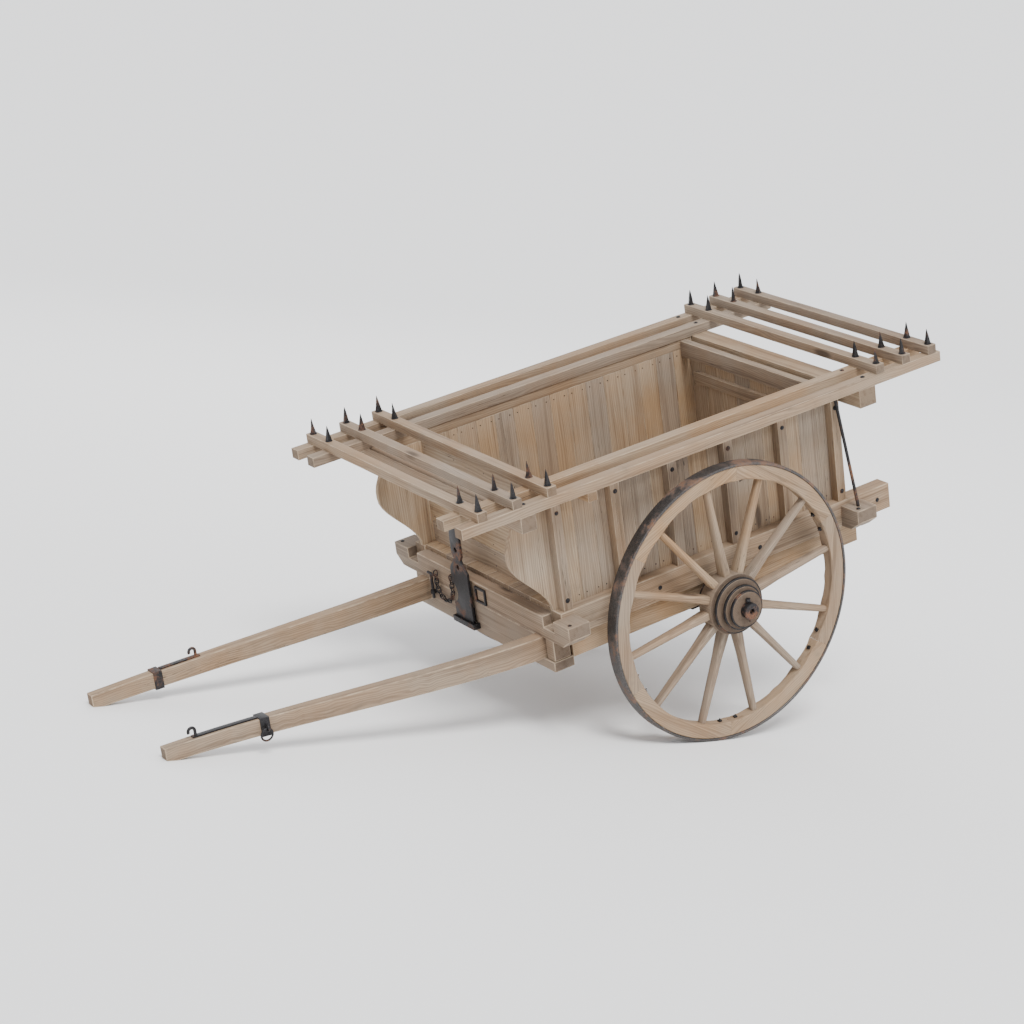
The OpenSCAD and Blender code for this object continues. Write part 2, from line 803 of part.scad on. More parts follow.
// Sawn felloes, two spokes in each, with round holes for the tongues
module felloes(side) {
    color(wood) on_arm(side) difference() {
        translate([0, 0, -felloe_w / 2]) cylinder(r = rim_r - seat, h = felloe_w);
        translate([0, 0, -felloe_w / 2 - 1]) cylinder(r = felloe_r, h = felloe_w + 2);
        for (i = [0:spoke_count - 1]) rotate([0, 0, i * 360 / spoke_count])
            translate([felloe_r - 10, 0, 0]) rotate([0, 90, 0])
            cylinder(r = tongue_r + seat, h = tongue_l + 11);
        for (i = [0:spoke_count / 2 - 1]) rotate([0, 0, (2 * i + 0.5) * 360 / spoke_count])
            translate([felloe_r - 10, -joint_gap / 2, -felloe_w]) cube([felloe_d + 20, joint_gap, 2 * felloe_w]);
    }
}

module felloes_left() felloes(-1);
module felloes_right() felloes(1);

module tyre(side) {
    color(iron) on_arm(side) translate([0, 0, -tyre_w / 2]) difference() {
        cylinder(r = wheel_r, h = tyre_w);
        translate([0, 0, -1]) cylinder(r = rim_r, h = tyre_w + 2);
    }
}

module tyre_left() tyre(-1);
module tyre_right() tyre(1);

// ---------------------------------------------------------------- drawing

shaft_left();
shaft_right();
crossbar();
axle();
tip_iron();
crossbar_irons();
pin_chain();
tip_pin();
shaft_irons_left();
shaft_irons_right();
shaft_ring_left();
shaft_ring_right();
wheel_washers();
linchpins();
lower_sill_left();
lower_sill_right();
upper_sill_left();
upper_sill_right();
front_beam();
rear_beam();
floor_boards();
floor_bearers();
side_posts_left();
side_posts_right();
side_planks_left();
side_planks_right();
top_rail_left();
top_rail_right();
headboard();
front_wing_left();
front_wing_right();
rear_cross_rail();
stay_rods();
outrigger_brackets();
keeper_staple();
axle_straps();
tailboard_lugs();
tailboard_planks();
tailboard_ledges();
tailboard_straps();
outer_rail_left();
outer_rail_right();
inner_rail_left();
inner_rail_right();
front_slats();
rear_slats();
frame_bearers();
slat_spikes();
nave_left();
nave_hoops_left();
axle_box_left();
spokes_left();
felloes_left();
tyre_left();
nave_right();
nave_hoops_right();
axle_box_right();
spokes_right();
felloes_right();
tyre_right();
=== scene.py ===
"""The looks of a two-wheeled farm tip cart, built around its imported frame.

Every timber is dressed from its own solid: arrises are worn, long faces waver, and each board carries its
own grain. Turned and bent pieces, spokes, spikes, bolts, nails and chain links are built here.
"""

import json
import logging
import math
import random
from dataclasses import dataclass, field
from enum import Enum
from typing import Any, Iterable, Sequence

import bmesh
import bpy
import numpy as np
from mathutils import Matrix, Vector, noise


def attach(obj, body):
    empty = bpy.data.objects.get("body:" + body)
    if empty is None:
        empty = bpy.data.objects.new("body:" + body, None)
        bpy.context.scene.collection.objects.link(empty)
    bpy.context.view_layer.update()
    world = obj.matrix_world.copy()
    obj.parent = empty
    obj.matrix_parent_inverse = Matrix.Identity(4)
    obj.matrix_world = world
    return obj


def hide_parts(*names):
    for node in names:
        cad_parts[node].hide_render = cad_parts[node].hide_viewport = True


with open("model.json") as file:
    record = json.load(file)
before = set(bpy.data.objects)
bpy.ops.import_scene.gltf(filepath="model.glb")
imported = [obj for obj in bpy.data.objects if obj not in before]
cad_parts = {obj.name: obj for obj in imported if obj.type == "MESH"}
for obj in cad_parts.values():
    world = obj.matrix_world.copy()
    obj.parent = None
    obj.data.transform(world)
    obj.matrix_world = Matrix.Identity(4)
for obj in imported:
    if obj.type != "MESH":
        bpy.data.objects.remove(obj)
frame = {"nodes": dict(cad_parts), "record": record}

log = logging.getLogger("tip_cart")
logging.basicConfig(level=logging.INFO, format="%(name)s: %(message)s")

Profile = Sequence[tuple[float, float]]
Triple = tuple[float, float, float]
Part = bmesh.types.BMesh
Spot = tuple[Vector, Vector]
MM = 0.001
WORN = "worn"
WAVER_SEED = 5
MERGE = 0.02 * MM
FLAT_ANGLE = math.radians(0.8)
ARRIS_ANGLE = math.radians(38)
SMOOTH_ANGLE = math.radians(34)
X, Y, Z = Vector((1, 0, 0)), Vector((0, 1, 0)), Vector((0, 0, 1))
ORDER = Vector((1.0, 7.31, 53.7))  # puts vertices and faces in the same order each run
SIDES = ((-1, "left"), (1, "right"))


# ---- the cart's own frame


class Cart:
    """The cart's own frame: origin amid the axle, X to the rear, Z square to the floor boards."""

    def __init__(self, record: dict[str, Any]) -> None:
        """Reads the axle and the cart's upward direction from the joints.

        Args:
            record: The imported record.
        """
        joints = {joint["name"]: joint for joint in record["behaviour"]["joints"]}
        up = Vector(joints["top_frame_lift"]["axis"]).normalized()
        along = Y.cross(up).normalized()
        turn = Matrix((along, Y, up)).transposed().to_4x4()
        self.to_world: Matrix = Matrix.Translation(joints["tub_tip"]["pos_m"]) @ turn
        self.to_cart: Matrix = self.to_world.inverted()
        self.slots: dict[str, str] = {row["node"]: row["material_slot"] for row in record["subparts"]}
        bodies = record["behaviour"]["bodies"]
        self.body_of: dict[str, str] = {node: body for body, nodes in bodies.items() for node in nodes}

    def solids(self, node: str) -> list[Part]:
        """Splits a copy of a node into its separate closed shells, in the cart frame.

        Args:
            node: The node's name.

        Returns:
            One mesh for each shell, merged and with its flat faces whole, in a steady order.
        """
        whole = bmesh.new()
        whole.from_mesh(frame["nodes"][node].data)
        bmesh.ops.remove_doubles(whole, verts=whole.verts, dist=MERGE)
        whole.transform(self.to_cart)
        whole.verts.index_update()
        whole.faces.index_update()
        parts = []
        seen: set[int] = set()
        for first in whole.verts:
            shell, edge = [], [first]
            while edge:
                vert = edge.pop()
                if vert.index in seen:
                    continue
                seen.add(vert.index)
                shell.append(vert)
                edge.extend(link.other_vert(vert) for link in vert.link_edges)
            if not shell:
                continue
            shell.sort(key=lambda vert: vert.index)
            part = bmesh.new()
            copies = {vert.index: part.verts.new(vert.co) for vert in shell}
            faces = {face.index: face for vert in shell for face in vert.link_faces}
            for index in sorted(faces):
                part.faces.new([copies[vert.index] for vert in faces[index].verts])
            bmesh.ops.dissolve_limit(part, angle_limit=FLAT_ANGLE, verts=part.verts, edges=part.edges)
            parts.append(part)
        whole.free()
        return sorted(parts, key=lambda part: tuple(round(value, 4) for value in limits(part)[0]))

    def boxes(self, node: str) -> list[Spot]:
        """Gives the box of each shell of a node in the cart frame.

        Args:
            node: The node's name.

        Returns:
            Pairs of lowest and highest corners.
        """
        parts = self.solids(node)
        found = [limits(part) for part in parts]
        for part in parts:
            part.free()
        return found


    def span(self, node: str) -> Spot:
        """Gives the lowest and highest corners of a whole node in the cart frame."""
        corners = np.array(self.boxes(node))
        return Vector(corners[:, 0].min(axis=0)), Vector(corners[:, 1].max(axis=0))


def limits(part: Part) -> Spot:
    """Returns the lowest and highest corners of a mesh."""
    points = np.array([vert.co for vert in part.verts])
    return Vector(points.min(axis=0)), Vector(points.max(axis=0))


def stood(name: str, data: Any) -> bpy.types.Object:
    """Adds an object to the scene.

    Args:
        name: The object's name.
        data: Its mesh, light or camera.

    Returns:
        The object, at the origin.
    """
    made = bpy.data.objects.new(name, data)
    bpy.context.scene.collection.objects.link(made)
    return made


def add_node(tree: Any, kind: str, settings: dict[str, Any], inputs: dict[Any, Any]) -> Any:
    """Adds a node to a tree.

    Args:
        tree: The shader or geometry tree.
        kind: The node's type.
        settings: Its properties, which are set first.
        inputs: Values or sockets by input name or number.

    Returns:
        The node.
    """
    made = tree.nodes.new(kind)
    for key, value in settings.items():
        setattr(made, key, value)
    for key, value in inputs.items():
        if isinstance(value, bpy.types.NodeSocket):
            tree.links.new(value, made.inputs[key])
        else:
            made.inputs[key].default_value = value
    return made


# ---- shader expressions


class Wire:
    """A shader socket, or what an expression on sockets gives."""

    def __init__(self, bench: "Bench", socket: Any) -> None:
        """Holds a socket of the material that the bench is making."""
        self.bench = bench
        self.socket = socket

    def _math(self, operation: str, *values: Any) -> "Wire":
        """Adds a Math node on this wire and the values given."""
        inputs = dict(enumerate((self, *values)))
        return self.bench.node("ShaderNodeMath", {"operation": operation}, inputs)

    def __add__(self, other: Any) -> "Wire":
        """Adds."""
        return self._math("ADD", other)

    def __sub__(self, other: Any) -> "Wire":
        """Subtracts."""
        return self._math("SUBTRACT", other)

    def __rsub__(self, other: float) -> "Wire":
        """Subtracts this wire from a number."""
        return self.bench.node("ShaderNodeMath", {"operation": "SUBTRACT"}, {0: other, 1: self})

    def __mul__(self, other: Any) -> "Wire":
        """Multiplies."""
        return self._math("MULTIPLY", other)

    __radd__ = __add__
    __rmul__ = __mul__

    def sine(self) -> "Wire":
        """Takes the sine."""
        return self._math("SINE")

    def away_from(self, value: float) -> "Wire":
        """Takes the distance from a value."""
        return (self - value)._math("ABSOLUTE")

    def step(self, low: float, high: float, bottom: float = 0.0, top: float = 1.0) -> "Wire":
        """Maps a range smoothly onto another, held at its ends.

        Args:
            low: The value that gives bottom.
            high: The value that gives top.
            bottom: What low gives.
            top: What high gives.

        Returns:
            The mapped wire.
        """
        return self.bench.node(
            "ShaderNodeMapRange",
            {"interpolation_type": "SMOOTHSTEP"},
            {"Value": self, "From Min": low, "From Max": high, "To Min": bottom, "To Max": top},
        )


class Bench:
    """Makes one material: nodes are added by type, with their settings first and their sockets after."""

    def __init__(self, name: str) -> None:
        """Starts an empty material."""
        self.material = bpy.data.materials.new(name)
        self.material.use_nodes = True
        self.tree = self.material.node_tree
        self.tree.nodes.clear()

    def node(self, kind: str, settings: dict[str, Any], inputs: dict[Any, Any], out: Any = 0) -> Wire:
        """Adds a node.

        Args:
            kind: The node's type.
            settings: Its properties.
            inputs: Values or wires by socket name or number.
            out: The output to return, by name or number.

        Returns:
            The chosen output.
        """
        ends = {key: value.socket if isinstance(value, Wire) else value for key, value in inputs.items()}
        return Wire(self, add_node(self.tree, kind, settings, ends).outputs[out])

    def attribute(self, name: str, out: str = "Fac") -> Wire:
        """Reads an attribute of the piece."""
        return self.node("ShaderNodeAttribute", {"attribute_name": name}, {}, out)

    def place(self) -> Wire:
        """Reads the place on the cart."""
        return self.node("ShaderNodeTexCoord", {}, {}, "Object")

    def scaled(self, vector: Wire, factors: Triple) -> Wire:
        """Multiplies a vector axis by axis."""
        return self.node("ShaderNodeVectorMath", {"operation": "MULTIPLY"}, {0: vector, 1: factors})

    def moved(self, vector: Wire, other: Any) -> Wire:
        """Adds another vector, or a number to each axis."""
        return self.node("ShaderNodeVectorMath", {"operation": "ADD"}, {0: vector, 1: other})

    def noise(self, vector: Wire, scale: float, detail: float = 4.0, rough: float = 0.55) -> Wire:
        """Gives smooth noise at a place."""
        inputs = {"Vector": vector, "Scale": scale, "Detail": detail, "Roughness": rough}
        return self.node("ShaderNodeTexNoise", {}, inputs)

    def drawn(self, grain: Wire, stretch: Triple, detail: float, rough: float = 0.55) -> Wire:
        """Gives noise drawn out along the grain."""
        return self.noise(self.scaled(grain, stretch), 1.0, detail, rough)

    def mix(self, share: Any, first: Any, second: Any, blend: str = "MIX") -> Wire:
        """Mixes two colours.

        Args:
            share: How much of the second.
            first: A colour or wire.
            second: A colour or wire.
            blend: The blend mode.

        Returns:
            The mixed colour.
        """
        settings = {"data_type": "RGBA", "blend_type": blend}
        full = [value if isinstance(value, Wire) else (*value, 1.0) for value in (first, second)]
        return self.node("ShaderNodeMix", settings, {0: share, 6: full[0], 7: full[1]}, out=2)

    def close(self, colour: Wire, rough: Wire, height: Wire, metal: Any, depth: float) -> bpy.types.Material:
        """Joins the last wires to the surface.

        Args:
            colour: The base colour.
            rough: The roughness.
            height: The height that the bump follows, 0 to 1.
            metal: How metallic it is.
            depth: The height's size in metres.

        Returns:
            The finished material.
        """
        bump = self.node("ShaderNodeBump", {}, {"Height": height, "Distance": depth, "Strength": 1.0})
        surface = self.node("ShaderNodeBsdfPrincipled", {}, {
            "Base Color": colour, "Roughness": rough, "Metallic": metal, "Normal": bump})
        output = self.tree.nodes.new("ShaderNodeOutputMaterial")
        self.tree.links.new(surface.socket, output.inputs["Surface"])
        return self.material


class Slot(Enum):
    """The record's material slots."""

    FRAME = "frame_wood"
    BOARD = "board_wood"
    NAVE = "nave_wood"
    IRON = "wrought_iron"
    TYRE = "tyre_iron"


@dataclass(frozen=True)
class WoodFinish:
    """Bare farm timber, bleached by weather, with fibres, growth rings, knots and drying checks."""

    name: str
    fresh: Triple
    bleached: Triple
    dark: Triple
    ring_width: float = 5.5 * MM
    check: float = 0.8
    apart: Triple = (13.7, 5.1, 3.3)
    warp: Triple = (1.4, 9.0, 9.0)
    lengthen: Triple = (0.35, 1.0, 1.0)
    sway: Triple = (0.0, 0.045, 0.03)
    fibres: Triple = (5.0, 330.0, 330.0)
    streaks: Triple = (1.1, 42.0, 42.0)
    knots: Triple = (1.5, 5.0, 5.0)
    splits: Triple = (1.7, 70.0, 70.0)
    split_gate: Triple = (1.0, 14.0, 14.0)
    split_dark: Triple = (0.018, 0.014, 0.010)
    grime_dark: Triple = (0.10, 0.085, 0.065)
    depth: float = 1.1 * MM

    def make(self) -> bpy.types.Material:
        """Builds the material.

        Returns:
            The material, which reads the grain, board, endcut and worn attributes.
        """
        bench = Bench(self.name)
        grain = bench.attribute("grain", "Vector")
        board, endcut, worn = (bench.attribute(name) for name in ("board", "endcut", WORN))
        place = bench.place()
        offset = bench.node("ShaderNodeCombineXYZ", {}, {k: board * self.apart[k] for k in range(3)})
        grain = bench.moved(grain, offset)
        warp = bench.drawn(grain, self.warp, 2.0)
        sway = bench.node("ShaderNodeCombineXYZ", {}, {0: 0.0, 1: warp, 2: warp})
        bent = bench.moved(bench.scaled(grain, self.lengthen), bench.scaled(sway, self.sway))
        across = bench.scaled(bent, (0.0, 1.0, 1.0))
        radius = bench.node("ShaderNodeVectorMath", {"operation": "LENGTH"}, {0: across}, "Value")
        rings = (radius * (2 * math.pi / self.ring_width)).sine() * 0.5 + 0.5
        fibre = bench.drawn(grain, self.fibres, 5.0, 0.65)
        streak = bench.drawn(grain, self.streaks, 4.0, 0.6)
        cell = bench.node("ShaderNodeTexVoronoi", {}, {
            "Vector": bench.scaled(grain, self.knots), "Scale": 1.0, "Randomness": 1.0}, "Distance")
        knot = cell.step(0.13, 0.05)
        split = bench.drawn(grain, self.splits, 2.0, 0.4).away_from(0.5)
        gate = bench.drawn(grain, self.split_gate, 2.0).step(0.52, 0.68)
        check = split.step(0.012, 0.0) * gate * self.check
        weather = bench.noise(place, 2.3, 5.0, 0.6)
        body = bench.mix(weather.step(0.3, 0.7, 0.25, 0.95), self.fresh, self.bleached)
        body = bench.mix(rings * 0.35, body, self.dark)
        body = bench.mix(streak.step(0.45, 0.75, 0.0, 0.55), body, self.dark)
        body = bench.mix(fibre.step(0.35, 0.7, 0.0, 0.22), body, self.dark)
        body = bench.mix(knot * 0.8, body, tint(self.dark, 0.55))
        shaded = bench.node("ShaderNodeHueSaturation", {}, {
            "Color": body, "Saturation": 0.82 + board * 0.3, "Value": 0.84 + board * 0.3})
        cut = bench.mix(endcut * 0.5, shaded, tint(self.dark, 0.6))
        handled = bench.noise(place, 11.0, 3.0, 0.6).step(0.35, 0.65, 0.1, 0.75)
        cut = bench.mix(worn * handled, cut, tint(self.bleached, 1.35))
        colour = bench.mix(check, cut, self.split_dark)
        grime = bench.noise(place, 7.0, 6.0, 0.7).step(0.55, 0.8, 0.0, 0.35)
        colour = bench.mix(grime, colour, self.grime_dark)
        rough = 0.72 + fibre * 0.2
        height = fibre * 0.35 + rings * 0.15 + streak * 0.3 - check * 1.2 - knot * 0.2 + 0.5
        return bench.close(colour, rough, height, 0.0, self.depth)


def tint(colour: Triple, share: float) -> Triple:
    """Makes a colour lighter or darker, up to white."""
    return tuple(min(1.0, share * part) for part in colour)


@dataclass(frozen=True)
class IronFinish:
    """Forged iron: hammered, blackened, with rust in patches and lighter flecks of scale."""

    name: str
    black: Triple
    rust: Triple
    rust_from: float = 0.52
    metal: float = 0.75
    hammer: float = 1.0
    patch_scale: float = 9.0
    grit_scale: float = 160.0
    dent_scale: float = 55.0
    depth: float = 0.7 * MM

    def make(self) -> bpy.types.Material:
        """Builds the material.

        Returns:
            The material, which reads Object coordinates.
        """
        bench = Bench(self.name)
        place = bench.place()
        patch = bench.noise(place, self.patch_scale, 7.0, 0.68).step(self.rust_from, self.rust_from + 0.14)
        grit = bench.noise(place, self.grit_scale, 4.0, 0.7)
        dents = bench.node("ShaderNodeTexVoronoi", {"feature": "SMOOTH_F1"}, {
            "Vector": place, "Scale": self.dent_scale, "Smoothness": 1.0}, "Distance")
        scale = bench.mix(grit.step(0.35, 0.7), self.black, tint(self.black, 2.0))
        colour = bench.mix(patch * grit.step(0.3, 0.6), scale, self.rust)
        rough = patch * 0.35 + grit * 0.2 + 0.38
        metal = (1 - patch) * self.metal
        height = dents * self.hammer * 0.5 + grit * 0.3 + patch * 0.2
        return bench.close(colour, rough, height, metal, self.depth)


@dataclass
class Finishes:
    """The material of each slot of the record."""

    made: dict[Slot, bpy.types.Material] = field(default_factory=dict)

    def prepare(self) -> None:
        """Builds every material once."""
        oak = WoodFinish("frame_timber", (0.31, 0.180, 0.086), (0.345, 0.265, 0.185), (0.090, 0.050, 0.026))
        elm = WoodFinish("plank_timber", (0.36, 0.222, 0.112), (0.39, 0.31, 0.225), (0.115, 0.067, 0.036),
                         ring_width=9.0 * MM)
        nave = WoodFinish("nave_timber", (0.20, 0.112, 0.055), (0.245, 0.18, 0.12), (0.065, 0.036, 0.020),
                          check=1.0)
        black = IronFinish("forged_iron", (0.022, 0.021, 0.022), (0.16, 0.065, 0.028))
        tyre = IronFinish("road_worn_iron", (0.060, 0.056, 0.054), (0.15, 0.075, 0.040), 0.48, 0.85, 0.4)
        for slot, finish in zip(Slot, (oak, elm, nave, black, tyre)):
            self.made[slot] = finish.make()


# ---- making pieces


class Repeater:
    """A Geometry Nodes tree that sets a pattern piece on every point, turned as the point says."""

    def __init__(self) -> None:
        """Builds the tree with its named inputs."""
        tree = bpy.data.node_groups.new("set_on_points", "GeometryNodeTree")
        face = tree.interface
        face.new_socket("Points", in_out="INPUT", socket_type="NodeSocketGeometry")
        sizes = {"Pattern": "Object", "Size": "Float", "Spread": "Float", "Seed": "Int",
                 "Finish": "Material"}
        self.keys = {
            name: face.new_socket(name, in_out="INPUT", socket_type=f"NodeSocket{kind}").identifier
            for name, kind in sizes.items()
        }
        face.new_socket("Pieces", in_out="OUTPUT", socket_type="NodeSocketGeometry")
        self.tree = tree
        entry = tree.nodes.new("NodeGroupInput").outputs
        pattern = self.node("ObjectInfo", {"transform_space": "ORIGINAL"}, {"Object": entry["Pattern"]})
        turn = self.node("InputNamedAttribute", {"data_type": "FLOAT_VECTOR"}, {"Name": "turn"})
        euler = add_node(tree, "FunctionNodeEulerToRotation", {}, {"Euler": turn["Attribute"]}).outputs
        least, most = (self.maths(sort, 1.0, entry["Spread"]) for sort in ("SUBTRACT", "ADD"))
        scale = self.maths("MULTIPLY", self.share(least, most, entry["Seed"]), entry["Size"])
        spread = self.node("InstanceOnPoints", {}, {
            "Points": entry["Points"], "Instance": pattern["Geometry"],
            "Rotation": euler["Rotation"], "Scale": scale})
        marked = self.node("StoreNamedAttribute", {"data_type": "FLOAT", "domain": "INSTANCE"}, {
            "Geometry": spread["Instances"], "Name": "board", "Value": self.share(0.0, 1.0, entry["Seed"])})
        real = self.node("RealizeInstances", {}, {"Geometry": marked["Geometry"]})
        finish = self.node("SetMaterial", {}, {"Geometry": real["Geometry"], "Material": entry["Finish"]})
        exit_node = tree.nodes.new("NodeGroupOutput")
        tree.links.new(finish["Geometry"], exit_node.inputs["Pieces"])

    def node(self, kind: str, settings: dict[str, Any], inputs: dict[Any, Any]) -> Any:
        """Adds a geometry node, by its type without its prefix, and gives its outputs."""
        return add_node(self.tree, f"GeometryNode{kind}", settings, inputs).outputs

    def maths(self, operation: str, first: Any, second: Any) -> Any:
        """Adds a Math node on two values and gives its result."""
        inputs = {0: first, 1: second}
        return add_node(self.tree, "ShaderNodeMath", {"operation": operation}, inputs).outputs[0]

    def share(self, least: Any, most: Any, seed: Any) -> Any:
        """Adds a random number for each point and gives it."""
        inputs = {2: least, 3: most, "Seed": seed}
        return add_node(self.tree, "FunctionNodeRandomValue", {"data_type": "FLOAT"}, inputs).outputs[1]

    def run(self, name: str, pattern: bpy.types.Mesh, places: Sequence[Matrix],
            finish: bpy.types.Material, seed: int, spread: float = 0.0) -> bpy.types.Mesh:
        """Sets the pattern on every place.

        Args:
            name: The new mesh's name.
            pattern: The pattern's mesh.
            places: Where and how each copy stands, in the world.
            finish: Its material.
            seed: The seed of its random sizes and shades.
            spread: How far the copies differ in size.

        Returns:
            A plain mesh.
        """
        points = bpy.data.meshes.new(f"{name}_points")
        points.from_pydata([place.to_translation() for place in places], [], [])
        turns = [tuple(place.to_euler("XYZ")) for place in places]
        turn = points.attributes.new("turn", "FLOAT_VECTOR", "POINT")
        turn.data.foreach_set("vector", np.array(turns, dtype=np.float32).ravel())
        carrier = stood(f"{name}_carrier", points)
        model = stood(f"{name}_pattern", pattern)
        modifier = carrier.modifiers.new("repeat", "NODES")
        modifier.node_group = self.tree
        sizes = {"Pattern": model, "Size": 1.0, "Spread": spread, "Seed": seed, "Finish": finish}
        for key, value in sizes.items():
            modifier[self.keys[key]] = value
        depsgraph = bpy.context.evaluated_depsgraph_get()
        made = bpy.data.meshes.new_from_object(
            carrier.evaluated_get(depsgraph), preserve_all_data_layers=True, depsgraph=depsgraph)
        carrier.modifiers.remove(modifier)
        for item in (carrier, model):
            bpy.data.objects.remove(item)
        made.name = f"{name}_mesh"
        return made


class Shop:
    """Turns meshes into pieces of the cart, with their finish, their body and the node they stand for."""

    bearing_r: float = 0.11
    bore_r: float = 0.033
    bore_ease: float = 0.6 * MM
    drift_pitch: float = 5.0

    def __init__(self, cart: Cart, finishes: Finishes) -> None:
        """Keeps the cart's frame and its finishes, and makes the repeater."""
        self.cart = cart
        self.finishes = finishes
        self.repeater = Repeater()

    def put(self, name: str, mesh: bpy.types.Mesh, slot: Slot, body: str, nodes: Iterable[str] = ()) -> None:
        """Adds a finished mesh to the cart.

        Args:
            name: The piece's name.
            mesh: Its mesh, in world places.
            slot: The finish it takes.
            body: The body it moves with.
            nodes: The CAD nodes it stands for.
        """
        if not mesh.materials:
            mesh.materials.append(self.finishes.made[slot])
        for polygon in mesh.polygons:
            polygon.use_smooth = True
        mesh.set_sharp_from_angle(angle=SMOOTH_ANGLE)
        piece = stood(name, mesh)
        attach(piece, body)
        for node in nodes:
            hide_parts(node)
        log.info("%s: %d faces on %s", name, len(mesh.polygons), body)

    def repeat(self, name: str, pattern: bpy.types.Mesh, places: Iterable[Matrix], body: str, seed: int,
               slot: Slot = Slot.IRON, spread: float = 0.0, nodes: Iterable[str] = ()) -> None:
        """Adds a piece made of one pattern that is set on many places.

        Args:
            name: The piece's name.
            pattern: The pattern's mesh.
            places: Where and how each copy stands, in the cart frame.
            body: The body it moves with.
            seed: The seed of its random sizes and shades.
            slot: The finish it takes.
            spread: How far the copies differ in size.
            nodes: The CAD nodes it stands for.
        """
        world = [self.cart.to_world @ place for place in places]
        mesh = self.repeater.run(name, pattern, world, self.finishes.made[slot], seed, spread)
        self.put(name, mesh, slot, body, nodes)

    def dress(self, node: str, arris: float, waver: float, pitch: float = 0.16, bent: bool = False) -> None:
        """Replaces a node by a worn copy of itself with grain along each of its solids.

        Args:
            node: The node's name.
            arris: How wide its edges are worn.
            waver: How far its faces wander.
            pitch: The distance between the cuts that let it wander.
            bent: Whether the grain follows the timber's own curve.
        """
        batch = Batch()
        for number, part in enumerate(self.cart.solids(node)):
            low, high = limits(part)
            size = high - low
            axis = max(range(3), key=lambda k: size[k])
            wear(part, min(arris, 0.2 * min(size)))
            if waver:
                cut_across(part, axis, low, size[axis], int(size[axis] / pitch))
                for vert in part.verts:
                    drift = noise.noise_vector(vert.co * self.drift_pitch + X * (number * 3.1))
                    drift[axis] *= 0.2
                    reach = math.hypot(vert.co.x, vert.co.z)
                    vert.co += drift * waver * max(0.0, min(1.0, reach / self.bearing_r - 1.0))
                    if reach < self.bore_r:
                        vert.co += Vector((vert.co.x, 0, vert.co.z)).normalized() * self.bore_ease
            batch.add(part, axis, seed_for(node, number), bent)
            part.free()
        mesh = batch.mesh(f"{node}_mesh", self.cart.to_world)
        self.put(f"{node}_piece", mesh, Slot(self.cart.slots[node]), self.cart.body_of[node], [node])


def wear(part: Part, width: float) -> None:
    """Rounds the sharp edges of a solid and marks the new faces as worn.

    Args:
        part: The solid.
        width: How wide the edges are worn.
    """
    mark = part.faces.layers.int.new(WORN)
    sharp = [e for e in part.edges if len(e.link_faces) == 2 and e.calc_face_angle(0.0) > ARRIS_ANGLE]
    rounded = bmesh.ops.bevel(part, geom=sharp, offset=width, offset_type="OFFSET", segments=2, profile=0.6,
                              affect="EDGES", clamp_overlap=True)
    for face in rounded["faces"]:
        face[mark] = 1


def cut_across(part: Part, axis: int, low: Vector, length: float, count: int) -> None:
    """Cuts the faces of a solid into equal lengths and puts them in a steady order.

    Args:
        part: The solid.
        axis: The axis along which it is divided.
        low: Its lowest corner.
        length: Its length along the axis.
        count: The number of lengths.
    """
    normal = (X, Y, Z)[axis]
    for cut in range(1, count):
        bmesh.ops.bisect_plane(part, geom=[*part.verts, *part.edges, *part.faces], dist=1e-6,
                               plane_co=low + normal * (cut * length / count), plane_no=normal)
    part.verts.sort(key=lambda vert: vert.co.dot(ORDER))
    part.faces.sort(key=lambda face: face.calc_center_median().dot(ORDER))


def seed_for(name: str, number: int) -> float:
    """Gives a steady share between 0 and 1 for a piece of timber."""
    return random.Random(f"{name}/{number}").random()


class Batch:
    """Gathers solids into one mesh, with each one's grain direction, shade, worn edges and cut ends."""

    reach: float = 0.05

    def __init__(self) -> None:
        """Starts empty."""
        self.points: list[Vector] = []
        self.faces: list[list[int]] = []
        self.grain: list[Triple] = []
        self.shares: dict[str, list[float]] = {"board": [], "endcut": [], WORN: []}

    def add(self, part: Part, axis: int, shade: float, bent: bool = False) -> None:
        """Adds a solid with its grain along one axis.

        Args:
            part: The solid.
            axis: The axis that the grain follows, 0 to 2.
            shade: The share that sets its tint and pattern.
            bent: Whether the grain follows the timber's own curve.
        """
        start = len(self.points)
        part.verts.index_update()
        part.normal_update()
        low, high = limits(part)
        middle = (low + high) / 2
        others = [k for k in range(3) if k != axis]
        spots = np.array([vert.co for vert in part.verts])
        for vert in part.verts:
            place = vert.co - middle
            if bent:
                near = spots[np.abs(spots[:, axis] - vert.co[axis]) < self.reach]
                for k in others:
                    place[k] = vert.co[k] - (near[:, k].min() + near[:, k].max()) / 2
            self.points.append(vert.co.copy())
            self.grain.append((place[axis], place[others[0]], place[others[1]]))
            self.shares["board"].append(shade)
        mark = part.faces.layers.int.get(WORN)
        for face in part.faces:
            self.faces.append([start + vert.index for vert in face.verts])
            self.shares[WORN].append(float(face[mark]) if mark else 0.0)
            self.shares["endcut"].append(float(abs(face.normal[axis]) > 0.8))

    def mesh(self, name: str, place: Matrix) -> bpy.types.Mesh:
        """Writes the mesh.

        Args:
            name: The mesh's name.
            place: Where the batch's frame lies in the world.

        Returns:
            The mesh, with its attributes.
        """
        mesh = bpy.data.meshes.new(name)
        mesh.from_pydata([place @ point for point in self.points], [], self.faces)
        grain = mesh.attributes.new("grain", "FLOAT_VECTOR", "POINT")
        grain.data.foreach_set("vector", np.array(self.grain, dtype=np.float32).ravel())
        for share, values in self.shares.items():
            domain = "POINT" if share == "board" else "FACE"
            mesh.attributes.new(share, "FLOAT", domain).data.foreach_set("value", values)
        mesh.validate()
        return mesh


